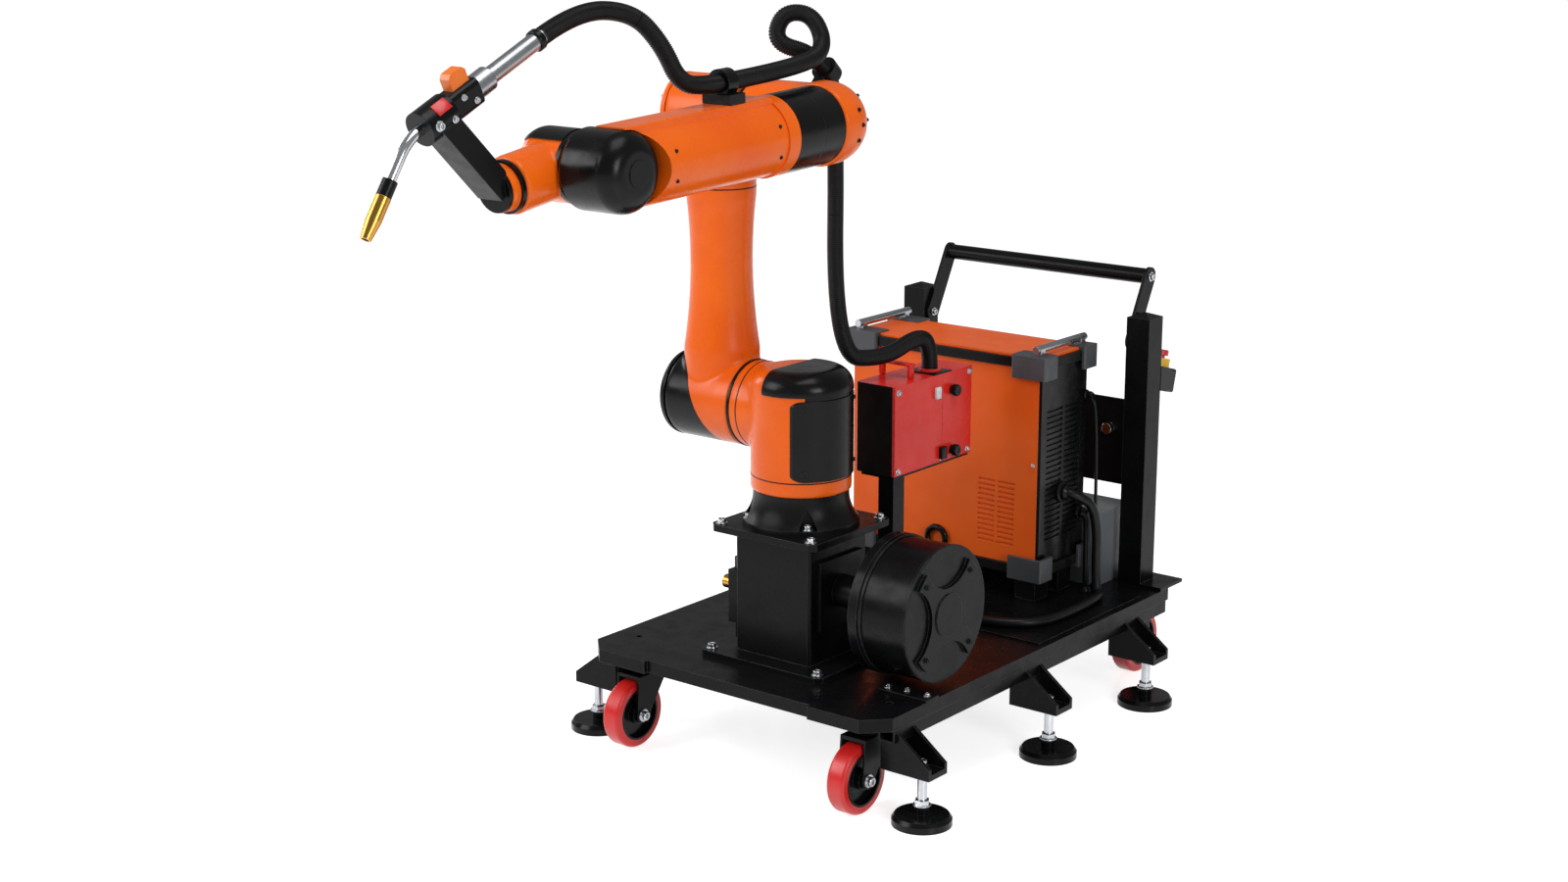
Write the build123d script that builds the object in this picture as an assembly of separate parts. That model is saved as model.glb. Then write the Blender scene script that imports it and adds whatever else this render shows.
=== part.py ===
import os
from math import cos, radians, sin, tan

from build123d import *

# Mobile welding arm: a six-axis arm on a wheeled cart that also carries its
# power source, wire feeder and wire drum.
# Millimetres. X runs across the cart, Y towards its push handle, Z up from the floor.
# Places below are from the middle of the deck. The part's own origin lies on the
# floor midway between the torch tip and the push bar.
origin_y = -418

# Running fits
joint_gap = 0.5
pin_clearance = 0.3
seat_gap = 0.3

# Deck
deck_width = 800
deck_length = 1200
deck_top = 228
deck_sheet = 6
deck_lip = 28
deck_chamfer = 50
ear_width = 180
ear_step = 10
deck_hole = 14
deck_hole_edge = 60
deck_hole_steps = (0.1, 0.45, 0.78)

# Frame under the deck
rail_width = 40
rail_height = 28
rail_wall = 4
rail_front = 55
rail_rear = 60
cross_width = 60
cross_front = 230
cross_rear = 200

# Levelling feet and their brackets
foot_out = 42
foot_front = 95
foot_mid = -30
foot_rear = 216
pad_diameter = 125
pad_height = 22
pad_edge = 14
pad_bevel = 6
foot_boss_diameter = 30
foot_boss_height = 18
stud_diameter = 20
stud_length = 106
bracket_reach = 80
bracket_width = 64
bracket_plate = 12
bracket_gusset = 8
bracket_tip = 24
bracket_drop = 7
bracket_hang = 52

# Casters
wheel_diameter = 150
wheel_lift = 3
tyre_width = 44
tyre_depth = 18
tyre_round = 8
tyre_seat = 4
hub_width = 46
hub_diameter = 44
web_width = 16
axle_diameter = 12
caster_inset = 95
caster_front = 100
caster_rear = 80
caster_trail = 45
fork_plate = 5
fork_side_gap = 5
fork_crown = 8
fork_top_gap = 6
fork_eye = 36
fork_length = 90
swivel_diameter = 68
swivel_height = 13
head_diameter = 76
kingpin_diameter = 14
kingpin_length = 24
caster_plate_width = 96
caster_plate_length = 90
caster_plate = 6

# Pedestal
pedestal_y = -337
pedestal_size = 200
pedestal_edge = 5
base_plate_width = 330
base_plate_depth = 300
base_plate = 12
top_plate_size = 280
top_plate = 15
plate_chamfer = 14
arm_seat = 522

# Arm base
base_flange_diameter = 250
base_flange = 10
base_neck_diameter = 206
base_height = 75
base_waist_diameter = 217
base_waist_height = 36
base_recess_width = 40
base_recess_height = 52
base_recess_bulge = 12
base_recess_bulge_height = 31
base_recess_depth = 26

# Turret, first axis upright and second axis across
turret_diameter = 216
turret_top = 858
turret_crown = 40
shoulder_z = 762
shoulder_diameter = 187
shoulder_face = 128
cover_thickness = 3
cover_half_width = 98
cover_bottom = 634
cover_top = 806
cover_corner = 14
crown_cover_bottom = 814
crown_cover_edge = -20

# Upper arm
upper_arm_x = -216
upper_arm_length = 612
upper_housing_diameter = 188
upper_housing_end = 88
upper_cap = 18
upper_cap_round = 14
upper_waist_diameter = 134
upper_waist_z = 1085
upper_foot_diameter = 164
upper_foot_z = 875
upper_head_diameter = 150
upper_head_z = 1205
elbow_housing_diameter = 164

# Elbow, third axis across and fourth axis along the forearm
elbow_face = -130
elbow_leg_diameter = 158
elbow_neck_diameter = 146
elbow_neck = 12
elbow_ball_diameter = 172
forearm_x = 60
elbow_nose = 36
drive_diameter = 162
drive_inner_length = 66
drive_outer_length = 114

# Forearm and wrist, fifth axis across and sixth axis along the wrist
forearm_length = 644
forearm_dip = 2.6
wrist_dip = 6
forearm_diameter = 154
forearm_flat = 5
forearm_flat_width = 74
wrist_housing_diameter = 156
wrist_housing_end = 66
wrist_housing_round = 40
wrist_button_diameter = 52
wrist_button = 2
wrist_neck_diameter = 134
wrist_face = 70
wrist_offset = 127
wrist_ball_diameter = 138
wrist_round = 38
wrist_barrel_diameter = 112
wrist_barrel_length = 148
wrist_cap_thickness = 3
wrist_cap_edge = 12
wrist_cap_level = 22
wrist_cap_tilt = 40
flange_ring_diameter = 102
flange_ring = 9
flange_diameter = 88
flange_length = 18

# Torch and its bracket
torch_forward = 299
torch_up = 163
torch_tilt = 16
bracket_disc_diameter = 84
bracket_disc = 8
bracket_arm_width = 62
bracket_arm_depth = 46
bracket_arm_wall = 6
clamp_diameter = 66
clamp_front = 40
clamp_rear = 30
block_width = 46
block_height = 52
block_length = 74
lever_width = 24
lever_height = 30
lever_length = 44
lever_inset = 10
collar_diameter = 48
collar_length = 40
tube_diameter = 34
tube_reach = 300
neck_diameter = 21
neck_bend_radius = 120
neck_bend = 32
neck_straight = 45
insulator_diameter = 29
insulator_length = 32
nozzle_diameter = 30
nozzle_mouth = 21
nozzle_bore = 15
nozzle_length = 82
nozzle_straight = 45

# Hose pack
hose_diameter = 36
bend_share = 0.45
hose_sleeve = 12
clamp_wall = 9
clamp_length = 30
fore_clamp_y = -655
fore_clamp_height = 45
elbow_clamp_x = 0
elbow_clamp_height = 46
elbow_clamp_angle = 45
saddle_width = 70
saddle_length = 46
saddle_height = 20
elbow_clamp_sink = 4
torch_run = 114
forearm_run = 40
elbow_run = 60
drop_run = 48
# Corners of the hose: over the wrist from the torch tail, before the forearm clamp, around its loop from
# the point above the elbow, and at the foot of its drop from the feeder inlet
wrist_arch = ((37, 218, 41), (72, 263, -21))
clamp_turn = (-30, -92, 0)
elbow_loop = ((0, -63, 0), (-30, 47, 24), (-70, 59, 89), (-118, 19, 94), (-122, -8, 34))
drop_foot = ((-83, -240, 62), (-28, -133, 46), (-8, -40, 84), (0, 0, 66))

# Wire drum on the pedestal
drum_diameter = 288
drum_z = 388
drum_inset = 24
drum_length = 140
drum_wall = 3
drum_rim = 5
drum_rim_length = 22
drum_floor = 8
lid_thickness = 6
lid_lip = 10
star_arms = 4
star_height = 9
star_inner = 58
star_outer = 128
star_tip = 9
lid_disc_height = 12
lid_disc_diameter = 92
drum_hub_diameter = 70
drum_plate_size = 150
drum_plate = 10

# Wire feeder on its post
feeder_x = 22
feeder_width = 103
feeder_y = -172
feeder_length = 290
feeder_z = 602
feeder_height = 198
feeder_door = 4
feeder_door_split = 178
feeder_inlet = (88, 8)
feeder_inlet_diameter = 52
feeder_inlet_height = 8
post_size = 40
post_x = 98
post_y = -145
post_foot = 84
post_plate = 8
post_wall = 4
post_arm_inset = 10

# Power source on its stand
welder_x = -300
welder_length = 540
welder_rear = 365
welder_depth = 205
welder_z = 318
welder_height = 462
welder_rim = 22
welder_inset = 8
lid_sheet = 6
louvre_rows = 24
louvre_pitch = 13
louvre_height = 6
louvre_width = 66
louvre_gap = 10
louvre_depth = 4
louvre_bottom = 60
vent_rows = 13
vent_pitch = 12
vent_height = 5
vent_width = 45.5
vent_gap = 8
vent_right = 68
vent_bottom = 40
bumper_length = 82
bumper_depth = 46
bumper_height = 44
bumper_wall = 9
grip_diameter = 18
grip_rise = 14
stand_leg = 54
stand_inset = 26
# Cables at the right end of the power source, from the end panel down to the tray
cable_diameters = (22, 14, 8)
cable_starts = ((97, 482), (173, 417), (189, 694))
cable_leads = (34, 22, 14)
cable_drops = ((66, 154), (36, 159), (38, 192))
cable_fall = 40
# Corners of the thickest cable on the tray: after its drop, and then from the feeder post that it ends at
lead_turn = (34, -29)
lead_run = ((242, 335, 0), (224, 240, 0), (152, 193, 0), (52, 175, 0), (0, 115, 8))

# Tray, controller and rear panel
tray_sheet = 4
tray_left = 90
tray_right = 15
tray_rear = 154
tray_length = 432
controller_gap = 22
controller_rear = 148
controller_depth = 150
controller_height = 176
panel_z = 460
panel_height = 205
panel_sheet = 5
socket_diameter = 26
socket_length = 14
socket_inset = 52
socket_z = 592

# Push handle
handle_post = 60
handle_inset = 56
handle_rear = 55
handle_post_top = 866
handle_cap = 10
handle_arm = 8
handle_arm_width = 44
handle_bar_diameter = 36
handle_reach = 73
handle_bar_z = 945
handle_foot = 100
handle_foot_plate = 8

# Emergency stop on the right post
stop_box_width = 62
stop_box_depth = 60
stop_box_height = 56
stop_box_round = 6
stop_z = 690
stop_tilt = 15
stop_collar_diameter = 46
stop_collar = 20
stop_head_diameter = 34
stop_head = 14
stop_stem_diameter = 20
stop_stem = 12
stop_travel = 6

# Air valve on the left face of the pedestal
valve_y = -400
valve_z = 290
valve_body = (34, 40, 118)
valve_cap_diameter = 24
valve_cap_height = 26
valve_knob_diameter = 30
valve_knob_length = 22
valve_knob_height = 83
valve_foot_height = 70
valve_foot_diameter = 22

# Shapes that follow from the sizes above
half_width = deck_width / 2
half_length = deck_length / 2
rail_top = deck_top - deck_lip
rail_bottom = rail_top - rail_height
bracket_top = rail_bottom - bracket_hang
axle_z = wheel_diameter / 2 + wheel_lift
foot_x = half_width + foot_out
foot_places = {"front": -half_length + foot_front, "mid": foot_mid, "rear": half_length - foot_rear}
cross_places = (-half_length + cross_front, 0, half_length - cross_rear)
caster_x = half_width - caster_inset
front_caster_y = -half_length + caster_front
rear_caster_y = half_length - caster_rear
drum_front = half_width - drum_inset
welder_y = half_length - welder_rear
handle_post_outer = half_width - handle_inset
handle_post_inner = handle_post_outer - handle_post
handle_post_y = half_length - handle_rear
handle_bar_y = handle_post_y + handle_reach
controller_y = half_length - controller_rear
turret_bottom = arm_seat + base_height + joint_gap
elbow_z = shoulder_z + upper_arm_length
forearm_front = pedestal_y - forearm_length
split_y = pedestal_y - elbow_nose - drive_inner_length
wrist_x = forearm_x - wrist_offset
wrist_joint_x = forearm_x - wrist_face
barrel_end = forearm_front - wrist_barrel_length
flange_face = barrel_end - joint_gap - flange_ring - flange_length
torch_y = forearm_front - torch_forward
torch_z = elbow_z + torch_up
forearm_pose = Pos(0, pedestal_y, elbow_z) * Rot(forearm_dip, 0, 0) * Pos(0, -pedestal_y, -elbow_z)
wrist_pose = forearm_pose * Pos(0, forearm_front, elbow_z) * Rot(wrist_dip, 0, 0)
wrist_pose = wrist_pose * Pos(0, -forearm_front, -elbow_z)


def box(x0, x1, y0, y1, z0, z1):
    centre = ((x0 + x1) / 2, (y0 + y1) / 2, (z0 + z1) / 2)
    return Pos(*centre) * Box(x1 - x0, y1 - y0, z1 - z0)


def disc_x(diameter, x0, x1, y, z):
    return Pos((x0 + x1) / 2, y, z) * Rot(0, 90, 0) * Cylinder(diameter / 2, abs(x1 - x0))


def disc_y(diameter, y0, y1, x, z):
    return Pos(x, (y0 + y1) / 2, z) * Rot(90, 0, 0) * Cylinder(diameter / 2, abs(y1 - y0))


def disc_z(diameter, z0, z1, x, y):
    return Pos(x, y, (z0 + z1) / 2) * Cylinder(diameter / 2, abs(z1 - z0))


def ball(diameter, x, y, z):
    return Pos(x, y, z) * Sphere(diameter / 2)


def turned(points):
    # Solid of revolution about Z from (radius, height) points.
    outline = Polyline(*[(r, 0, z) for r, z in points], close=True)
    return revolve(make_face(outline), Axis.Z)


def hose(points, diameter):
    # Round tube along straight runs that are joined by bends as large as the runs leave room for.
    runs = []
    radii = []
    start = points[0]
    for before, corner, after in zip(points, points[1:], points[2:]):
        arrive = corner - before
        leave = after - corner
        reach = bend_share * min(arrive.length, leave.length)
        radii.append(round(reach / tan(radians(arrive.get_angle(leave) / 2))))
        turn = corner + leave.normalized() * reach
        first = corner - arrive.normalized() * reach
        runs.append(Line(start, first))
        runs.append(TangentArc(first, turn, tangent=arrive.normalized()))
        start = turn
    runs.append(Line(start, points[-1]))
    print(f"bends of a {diameter} mm hose, in mm: {radii}")
    section = Plane(origin=points[0], z_dir=points[1] - points[0]) * Circle(diameter / 2)
    return sweep(section, path=Wire([run.edge() for run in runs]))


def heading(angle):
    # Direction in the upright plane along the cart, rising by the angle.
    return Vector(0, cos(radians(angle)), sin(radians(angle)))


def mirrored(shape):
    return mirror(shape, about=Plane.YZ)


def plate(width, depth, z0, z1, y, chamfer_size):
    slab = box(-width / 2, width / 2, y - depth / 2, y + depth / 2, z0, z1)
    return chamfer(slab.edges().filter_by(Axis.Z), chamfer_size)


def deck_outline():
    inner = half_width - ear_width
    front = [
        (-half_width, -half_length + deck_chamfer),
        (-half_width + deck_chamfer, -half_length),
        (-inner, -half_length),
        (-inner, -half_length + ear_step),
    ]
    front += [(-x, y) for x, y in reversed(front)]
    rear = [(-x, -y) for x, y in front]
    return make_face(Polyline(*front, *rear, close=True))


def deck():
    outline = deck_outline()
    sheet = Pos(0, 0, rail_top) * extrude(outline, deck_lip)
    hollow = offset(outline, -deck_sheet, kind=Kind.INTERSECTION)
    sheet -= Pos(0, 0, rail_top) * extrude(hollow, deck_lip - deck_sheet)
    for step in deck_hole_steps:
        for x in (-half_width + deck_hole_edge, half_width - deck_hole_edge):
            y = -half_length + step * deck_length
            sheet -= disc_z(deck_hole, deck_top - deck_sheet, deck_top, x, y)
    return sheet


def deck_frame():
    # Side rails and the cross members welded between them.
    y0 = -half_length + rail_front
    y1 = half_length - rail_rear
    tube = box(half_width - rail_width, half_width, y0, y1, rail_bottom, rail_top)
    tube -= box(
        half_width - rail_width + rail_wall,
        half_width - rail_wall,
        y0,
        y1,
        rail_bottom + rail_wall,
        rail_top - rail_wall,
    )
    frame = tube + mirrored(tube)
    reach = half_width - rail_width
    half = cross_width / 2
    for y in cross_places:
        frame += box(-reach, reach, y - half, y + half, rail_bottom, deck_top - deck_sheet)
    return frame


def foot_bracket(y):
    # Open box of a floor and two gussets, hung below the rail and against its outer side.
    half = bracket_width / 2
    inner = half_width - rail_width
    outer = half_width + bracket_reach
    floor = bracket_top - bracket_plate
    bracket = box(inner, outer, y - half, y + half, floor, bracket_top)
    bracket -= disc_z(stud_diameter + 2 * pin_clearance, floor, bracket_top, foot_x, y)
    profile = Polyline(
        (half_width, rail_top - bracket_drop),
        (outer, bracket_top + bracket_tip - bracket_plate),
        (outer, bracket_top),
        (inner, bracket_top),
        (inner, rail_bottom),
        (half_width, rail_bottom),
        close=True,
    )
    for side in (-1, 1):
        start = y + side * half - (bracket_gusset if side > 0 else 0)
        rib = extrude(Plane.XZ * make_face(profile), -bracket_gusset)
        bracket += Pos(0, start, 0) * rib
    return bracket


def foot_brackets():
    right = [foot_bracket(y) for y in foot_places.values()]
    return right + [mirrored(bracket) for bracket in right]


def levelling_foot(x, y):
    boss_top = pad_height + foot_boss_height
    foot = turned(
        [
            (0, 0),
            (pad_diameter / 2, 0),
            (pad_diameter / 2, pad_edge),
            (pad_diameter / 2 - pad_bevel, pad_height),
            (foot_boss_diameter / 2, pad_height),
            (foot_boss_diameter / 2, boss_top),
            (stud_diameter / 2, boss_top),
            (stud_diameter / 2, pad_height + stud_length),
            (0, pad_height + stud_length),
        ]
    )
    return Pos(x, y, 0) * foot


def caster_wheel():
    # Wheel about the X axis, centred on its axle.
    rim = wheel_diameter / 2
    seat = rim - tyre_depth
    tyre = Rot(0, 90, 0) * (Cylinder(rim, tyre_width) - Cylinder(seat - tyre_seat, tyre_width))
    tyre = fillet(tyre.edges().filter_by(GeomType.CIRCLE).group_by(SortBy.RADIUS)[-1], tyre_round)
    web = Rot(0, 90, 0) * Cylinder(seat, web_width)
    hub = Rot(0, 90, 0) * Cylinder(hub_diameter / 2, hub_width)
    bore = Rot(0, 90, 0) * Cylinder(axle_diameter / 2 + pin_clearance, hub_width)
    return tyre + web + hub - bore


def caster_fork():
    # Fork below its swivel seat, on the swivel axis, with the wheel trailing to +Y.
    inside = tyre_width / 2 + fork_side_gap
    crown = wheel_diameter + wheel_lift + fork_top_gap
    front = -swivel_diameter / 2
    eye = make_face(Pos(caster_trail, axle_z) * CenterArc((0, 0), fork_eye / 2, 0, 360))
    shoulder = Polyline(
        (front, crown + fork_crown),
        (front + fork_length, crown + fork_crown),
        (front + fork_length, crown),
        (front, crown),
        close=True,
    )
    cheek_face = make_hull(eye.edges() + shoulder.edges())
    cheek = extrude(Plane.YZ * cheek_face, fork_plate)
    fork = Pos(inside, 0, 0) * cheek + Pos(-inside - fork_plate, 0, 0) * cheek
    outside = inside + fork_plate
    fork += box(-outside, outside, front, front + fork_length, crown, crown + fork_crown)
    fork += disc_x(axle_diameter, -outside, outside, caster_trail, axle_z)
    fork += disc_z(swivel_diameter, crown + fork_crown, crown + fork_crown + swivel_height, 0, 0)
    return fork


swivel_top = wheel_diameter + wheel_lift + fork_top_gap + fork_crown + swivel_height


def caster_head(fixed):
    # Mounting plate and bearing housing on the swivel axis.
    under = deck_top - deck_sheet
    start = swivel_top if fixed else swivel_top + joint_gap
    head = disc_z(head_diameter, start, under - caster_plate, 0, 0)
    half_x = caster_plate_width / 2
    half_y = caster_plate_length / 2
    head += box(-half_x, half_x, -half_y, half_y, under - caster_plate, under)
    if not fixed:
        end = swivel_top + kingpin_length + joint_gap
        head -= disc_z(kingpin_diameter + 2 * pin_clearance, start, end, 0, 0)
    return head


def front_caster_forks():
    fork = Rot(0, 0, 180) * caster_fork() + caster_head(True)
    return [Pos(side * caster_x, front_caster_y, 0) * fork for side in (-1, 1)]


def rear_caster_heads():
    return [Pos(side * caster_x, rear_caster_y, 0) * caster_head(False) for side in (-1, 1)]


def rear_caster_fork(side):
    fork = caster_fork() + disc_z(kingpin_diameter, swivel_top, swivel_top + kingpin_length, 0, 0)
    return Pos(side * caster_x, rear_caster_y, 0) * fork


def pedestal():
    column_bottom = deck_top + base_plate
    column_top = arm_seat - top_plate
    half = pedestal_size / 2
    column = box(-half, half, pedestal_y - half, pedestal_y + half, column_bottom, column_top)
    column = chamfer(column.edges().filter_by(Axis.Z), pedestal_edge)
    foot = plate(base_plate_width, base_plate_depth, deck_top, column_bottom, pedestal_y, plate_chamfer)
    head = plate(top_plate_size, top_plate_size, column_top, arm_seat, pedestal_y, plate_chamfer)
    return column + foot + head


def arm_base():
    flange = base_flange_diameter / 2
    neck = base_neck_diameter / 2
    top = base_height
    waist = (base_waist_diameter / 2, base_waist_height)
    profile = Polyline((0, 0), (flange, 0), (flange, base_flange))
    flare = ThreePointArc((flange, base_flange), waist, (neck, top))
    closing = Polyline((neck, top), (0, top), (0, 0))
    base = revolve(Plane.XZ * make_face([*profile.edges(), *flare.edges(), *closing.edges()]), Axis.Z)
    half = base_recess_width / 2
    sill = Line((-half, base_flange), (half, base_flange))
    bulge = (base_recess_bulge, base_recess_bulge_height)
    right = ThreePointArc((half, base_flange), bulge, (0, base_recess_height))
    arch = make_face([sill, right, mirror(right, about=Plane.YZ)])
    recess = extrude(Plane.XZ * arch, base_recess_depth)
    for corner in range(4):
        angle = 45 + 90 * corner
        base -= Rot(0, 0, angle) * Pos(0, -(flange - base_recess_depth), 0) * recess
    return Pos(0, pedestal_y, arm_seat) * base


def turret_form(growth):
    # Upright body of the turret with its rounded crown, grown outwards by a skin.
    body = disc_z(turret_diameter + 2 * growth, turret_bottom, turret_top + growth, 0, pedestal_y)
    return fillet(body.edges().group_by(Axis.Z)[-1], turret_crown + growth)


def shoulder_form(growth):
    return disc_x(shoulder_diameter + 2 * growth, -shoulder_face, 0, pedestal_y, shoulder_z)


def turret():
    return turret_form(0) + shoulder_form(0)


def turret_covers():
    skin = turret_form(seat_gap + cover_thickness) - turret_form(seat_gap)
    middle = (cover_bottom + cover_top) / 2
    window = Plane.YZ * Pos(pedestal_y, middle) * RectangleRounded(
        2 * cover_half_width, cover_top - cover_bottom, cover_corner
    )
    side = skin & extrude(window, turret_diameter)
    reach = turret_diameter
    cap = skin & box(
        crown_cover_edge,
        reach,
        pedestal_y - reach,
        pedestal_y + reach,
        crown_cover_bottom,
        turret_top + reach,
    )
    cap -= shoulder_form(seat_gap)
    return [side, cap]


def upper_arm():
    foot = upper_foot_diameter / 2
    waist = upper_waist_diameter / 2
    head = upper_head_diameter / 2
    side = Spline((foot, upper_foot_z), (waist, upper_waist_z), (head, upper_head_z))
    rest = Polyline(
        (head, upper_head_z),
        (head, elbow_z),
        (0, elbow_z),
        (0, shoulder_z),
        (foot, shoulder_z),
        (foot, upper_foot_z),
    )
    tube = revolve(Plane.XZ * make_face([*side.edges(), *rest.edges()]), Axis.Z)
    arm = Pos(upper_arm_x, pedestal_y, 0) * tube
    outer = upper_arm_x - upper_housing_end
    arm += disc_x(upper_housing_diameter, outer, -shoulder_face - joint_gap, pedestal_y, shoulder_z)
    arm += disc_x(elbow_housing_diameter, outer, elbow_face - joint_gap, pedestal_y, elbow_z)
    return arm


def upper_arm_caps():
    outer = upper_arm_x - upper_housing_end
    caps = []
    for diameter, z in ((upper_housing_diameter, shoulder_z), (elbow_housing_diameter, elbow_z)):
        cap = disc_x(diameter, outer - upper_cap, outer, pedestal_y, z)
        caps.append(fillet(cap.edges().group_by(Axis.X)[0], upper_cap_round))
    return caps


def elbow_housing():
    leg = disc_x(elbow_leg_diameter, elbow_face + elbow_neck, forearm_x, pedestal_y, elbow_z)
    leg += disc_x(elbow_neck_diameter, elbow_face, elbow_face + elbow_neck, pedestal_y, elbow_z)
    nose_end = pedestal_y - elbow_nose
    nose = disc_y(elbow_ball_diameter, nose_end, pedestal_y, forearm_x, elbow_z)
    reach = elbow_ball_diameter
    knuckle = ball(elbow_ball_diameter, forearm_x, pedestal_y, elbow_z)
    knuckle -= box(
        forearm_x - reach, forearm_x + reach, nose_end - reach, nose_end, elbow_z - reach, elbow_z + reach
    )
    leg -= disc_y(drive_diameter + 2 * seat_gap, nose_end - reach, nose_end, forearm_x, elbow_z)
    return leg + nose + knuckle


def elbow_drive():
    return disc_y(drive_diameter, split_y, pedestal_y - elbow_nose, forearm_x, elbow_z)


def forearm_drive():
    front = split_y - drive_outer_length
    return disc_y(drive_diameter, front, split_y - joint_gap, forearm_x, elbow_z)


def forearm_tube():
    rear = split_y - drive_outer_length
    tube = disc_y(forearm_diameter, forearm_front, rear, forearm_x, elbow_z)
    half = forearm_flat_width / 2
    top = elbow_z + forearm_diameter / 2 + forearm_flat
    ridge = box(forearm_x - half, forearm_x + half, forearm_front, rear, elbow_z, top)
    tube += fillet(ridge.edges().filter_by(Axis.Y).group_by(Axis.Z)[-1], forearm_flat)
    return tube - disc_x(
        wrist_housing_diameter + 2 * seat_gap,
        wrist_joint_x - wrist_offset,
        forearm_x + wrist_offset,
        forearm_front,
        elbow_z,
    )


def wrist_housing():
    end = forearm_x + wrist_housing_end
    inner = forearm_x - wrist_housing_diameter / 2 + wrist_housing_round / 2
    dome = disc_x(wrist_housing_diameter, inner, end, forearm_front, elbow_z)
    dome = fillet(dome.edges().group_by(Axis.X)[-1], wrist_housing_round)
    neck = disc_x(wrist_neck_diameter, wrist_joint_x, inner, forearm_front, elbow_z)
    button = disc_x(wrist_button_diameter, end, end + wrist_button, forearm_front, elbow_z)
    return dome + neck + button


def wrist_form():
    # Joint stub across the wrist with a rounded outer end.
    outer = wrist_x - wrist_ball_diameter / 2
    form = disc_x(wrist_ball_diameter, outer, wrist_joint_x - joint_gap, forearm_front, elbow_z)
    return fillet(form.edges().group_by(Axis.X)[0], wrist_round)


def wrist_body():
    return wrist_form() + disc_y(wrist_barrel_diameter, barrel_end, forearm_front, wrist_x, elbow_z)


def wrist_cap():
    # Black cover over the top and back of the wrist.
    skin = offset(wrist_form(), seat_gap + wrist_cap_thickness) - offset(wrist_form(), seat_gap)
    reach = wrist_ball_diameter
    keep = box(-reach, wrist_joint_x - wrist_x - wrist_cap_edge, -reach, reach, wrist_cap_level, reach)
    return skin & Pos(wrist_x, forearm_front, elbow_z) * Rot(-wrist_cap_tilt, 0, 0) * keep


def tool_flange():
    start = barrel_end - joint_gap
    ring = disc_y(flange_ring_diameter, start - flange_ring, start, wrist_x, elbow_z)
    return ring + disc_y(flange_diameter, flange_face, start - flange_ring, wrist_x, elbow_z)


def along_torch(shape):
    # Place a shape made along +Z, with the clamp centre at its origin, on the torch axis.
    return Pos(wrist_x, torch_y, torch_z) * Rot(90 + torch_tilt, 0, 0) * shape


def stretch(diameter, start, end):
    return Pos(0, 0, (start + end) / 2) * Cylinder(diameter / 2, end - start)


def torch_bracket():
    disc_front = flange_face - bracket_disc
    disc = disc_y(bracket_disc_diameter, disc_front, flange_face, wrist_x, elbow_z)
    start = Vector(0, disc_front + bracket_disc, elbow_z)
    end = Vector(0, torch_y, torch_z)
    run = end - start
    length = run.length
    half = bracket_arm_width / 2
    arm = box(-half, half, -bracket_arm_depth / 2, bracket_arm_depth / 2, 0, length)
    arm -= box(
        -half + bracket_arm_wall,
        half - bracket_arm_wall,
        -bracket_arm_depth / 2 + bracket_arm_wall,
        bracket_arm_depth / 2,
        bracket_arm_wall,
        length,
    )
    place = Plane(origin=(wrist_x, start.Y, start.Z), x_dir=(1, 0, 0), z_dir=(0, run.Y, run.Z))
    arm = place.location * arm
    arm = arm - box(
        wrist_x - bracket_arm_width,
        wrist_x + bracket_arm_width,
        flange_face,
        flange_face + bracket_arm_depth + length,
        elbow_z - length,
        elbow_z + length,
    )
    bore = along_torch(stretch(clamp_diameter + 2 * seat_gap, -clamp_rear - block_length, clamp_front * 2))
    return disc + arm - bore


def torch_clamp():
    clamp = stretch(clamp_diameter, -clamp_rear, clamp_front)
    clamp -= stretch(neck_diameter + 2 * seat_gap, 0, clamp_front)
    return along_torch(clamp)


def torch_body():
    rear = -clamp_rear - block_length
    block = box(-block_width / 2, block_width / 2, -block_height / 2, block_height / 2, rear, -clamp_rear)
    block = fillet(block.edges().filter_by(Axis.Z), block_width / 4)
    collar = stretch(collar_diameter, rear - collar_length, rear)
    tube = stretch(tube_diameter, -tube_reach, rear - collar_length)
    return along_torch(block + collar + tube)


def torch_lever():
    rear = -clamp_rear - block_length
    base = block_height / 2 + seat_gap
    start = rear + lever_inset
    lever = box(-lever_width / 2, lever_width / 2, base, base + lever_height, start, start + lever_length)
    lever = chamfer(lever.edges().filter_by(Axis.X).group_by(Axis.Y)[-1], lever_height / 4)
    return along_torch(lever)


def neck_line():
    start = (0, 0)
    bend = CenterArc((0, -neck_bend_radius), neck_bend_radius, 90, -neck_bend)
    tail = Line(bend @ 1, bend @ 1 + (bend % 1) * (neck_straight + insulator_length + nozzle_length))
    lead = Line((-clamp_front, 0), start)
    return lead, bend, tail


def torch_neck():
    # Bent neck in the upright plane of the torch, from inside the clamp to the insulator.
    lead, bend, tail = neck_line()
    stop = Line(tail @ 0, tail @ 0 + (tail % 0) * neck_straight)
    path = Wire([*lead.edges(), *bend.edges(), *stop.edges()])
    place = neck_place()
    path = place * path
    section = Plane(origin=path @ 0, z_dir=path % 0) * Circle(neck_diameter / 2)
    return sweep(section, path=path)


def neck_place():
    # Frame at the clamp's front face, with X along the torch and Y across it, upwards.
    tilt = radians(torch_tilt)
    forward = Vector(0, -cos(tilt), -sin(tilt))
    origin = Vector(wrist_x, torch_y, torch_z) + forward * clamp_front
    return Plane(origin=origin, x_dir=forward, z_dir=(-1, 0, 0)).location


def tip_place():
    # Frame at the end of the neck, with Z pointing out of the nozzle.
    lead, bend, tail = neck_line()
    place = neck_place()
    end = place * Line(tail @ 0, tail @ 0 + (tail % 0) * neck_straight)
    return Plane(origin=end @ 1, x_dir=(1, 0, 0), z_dir=end % 1).location


def torch_insulator():
    return tip_place() * stretch(insulator_diameter, 0, insulator_length)


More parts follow.
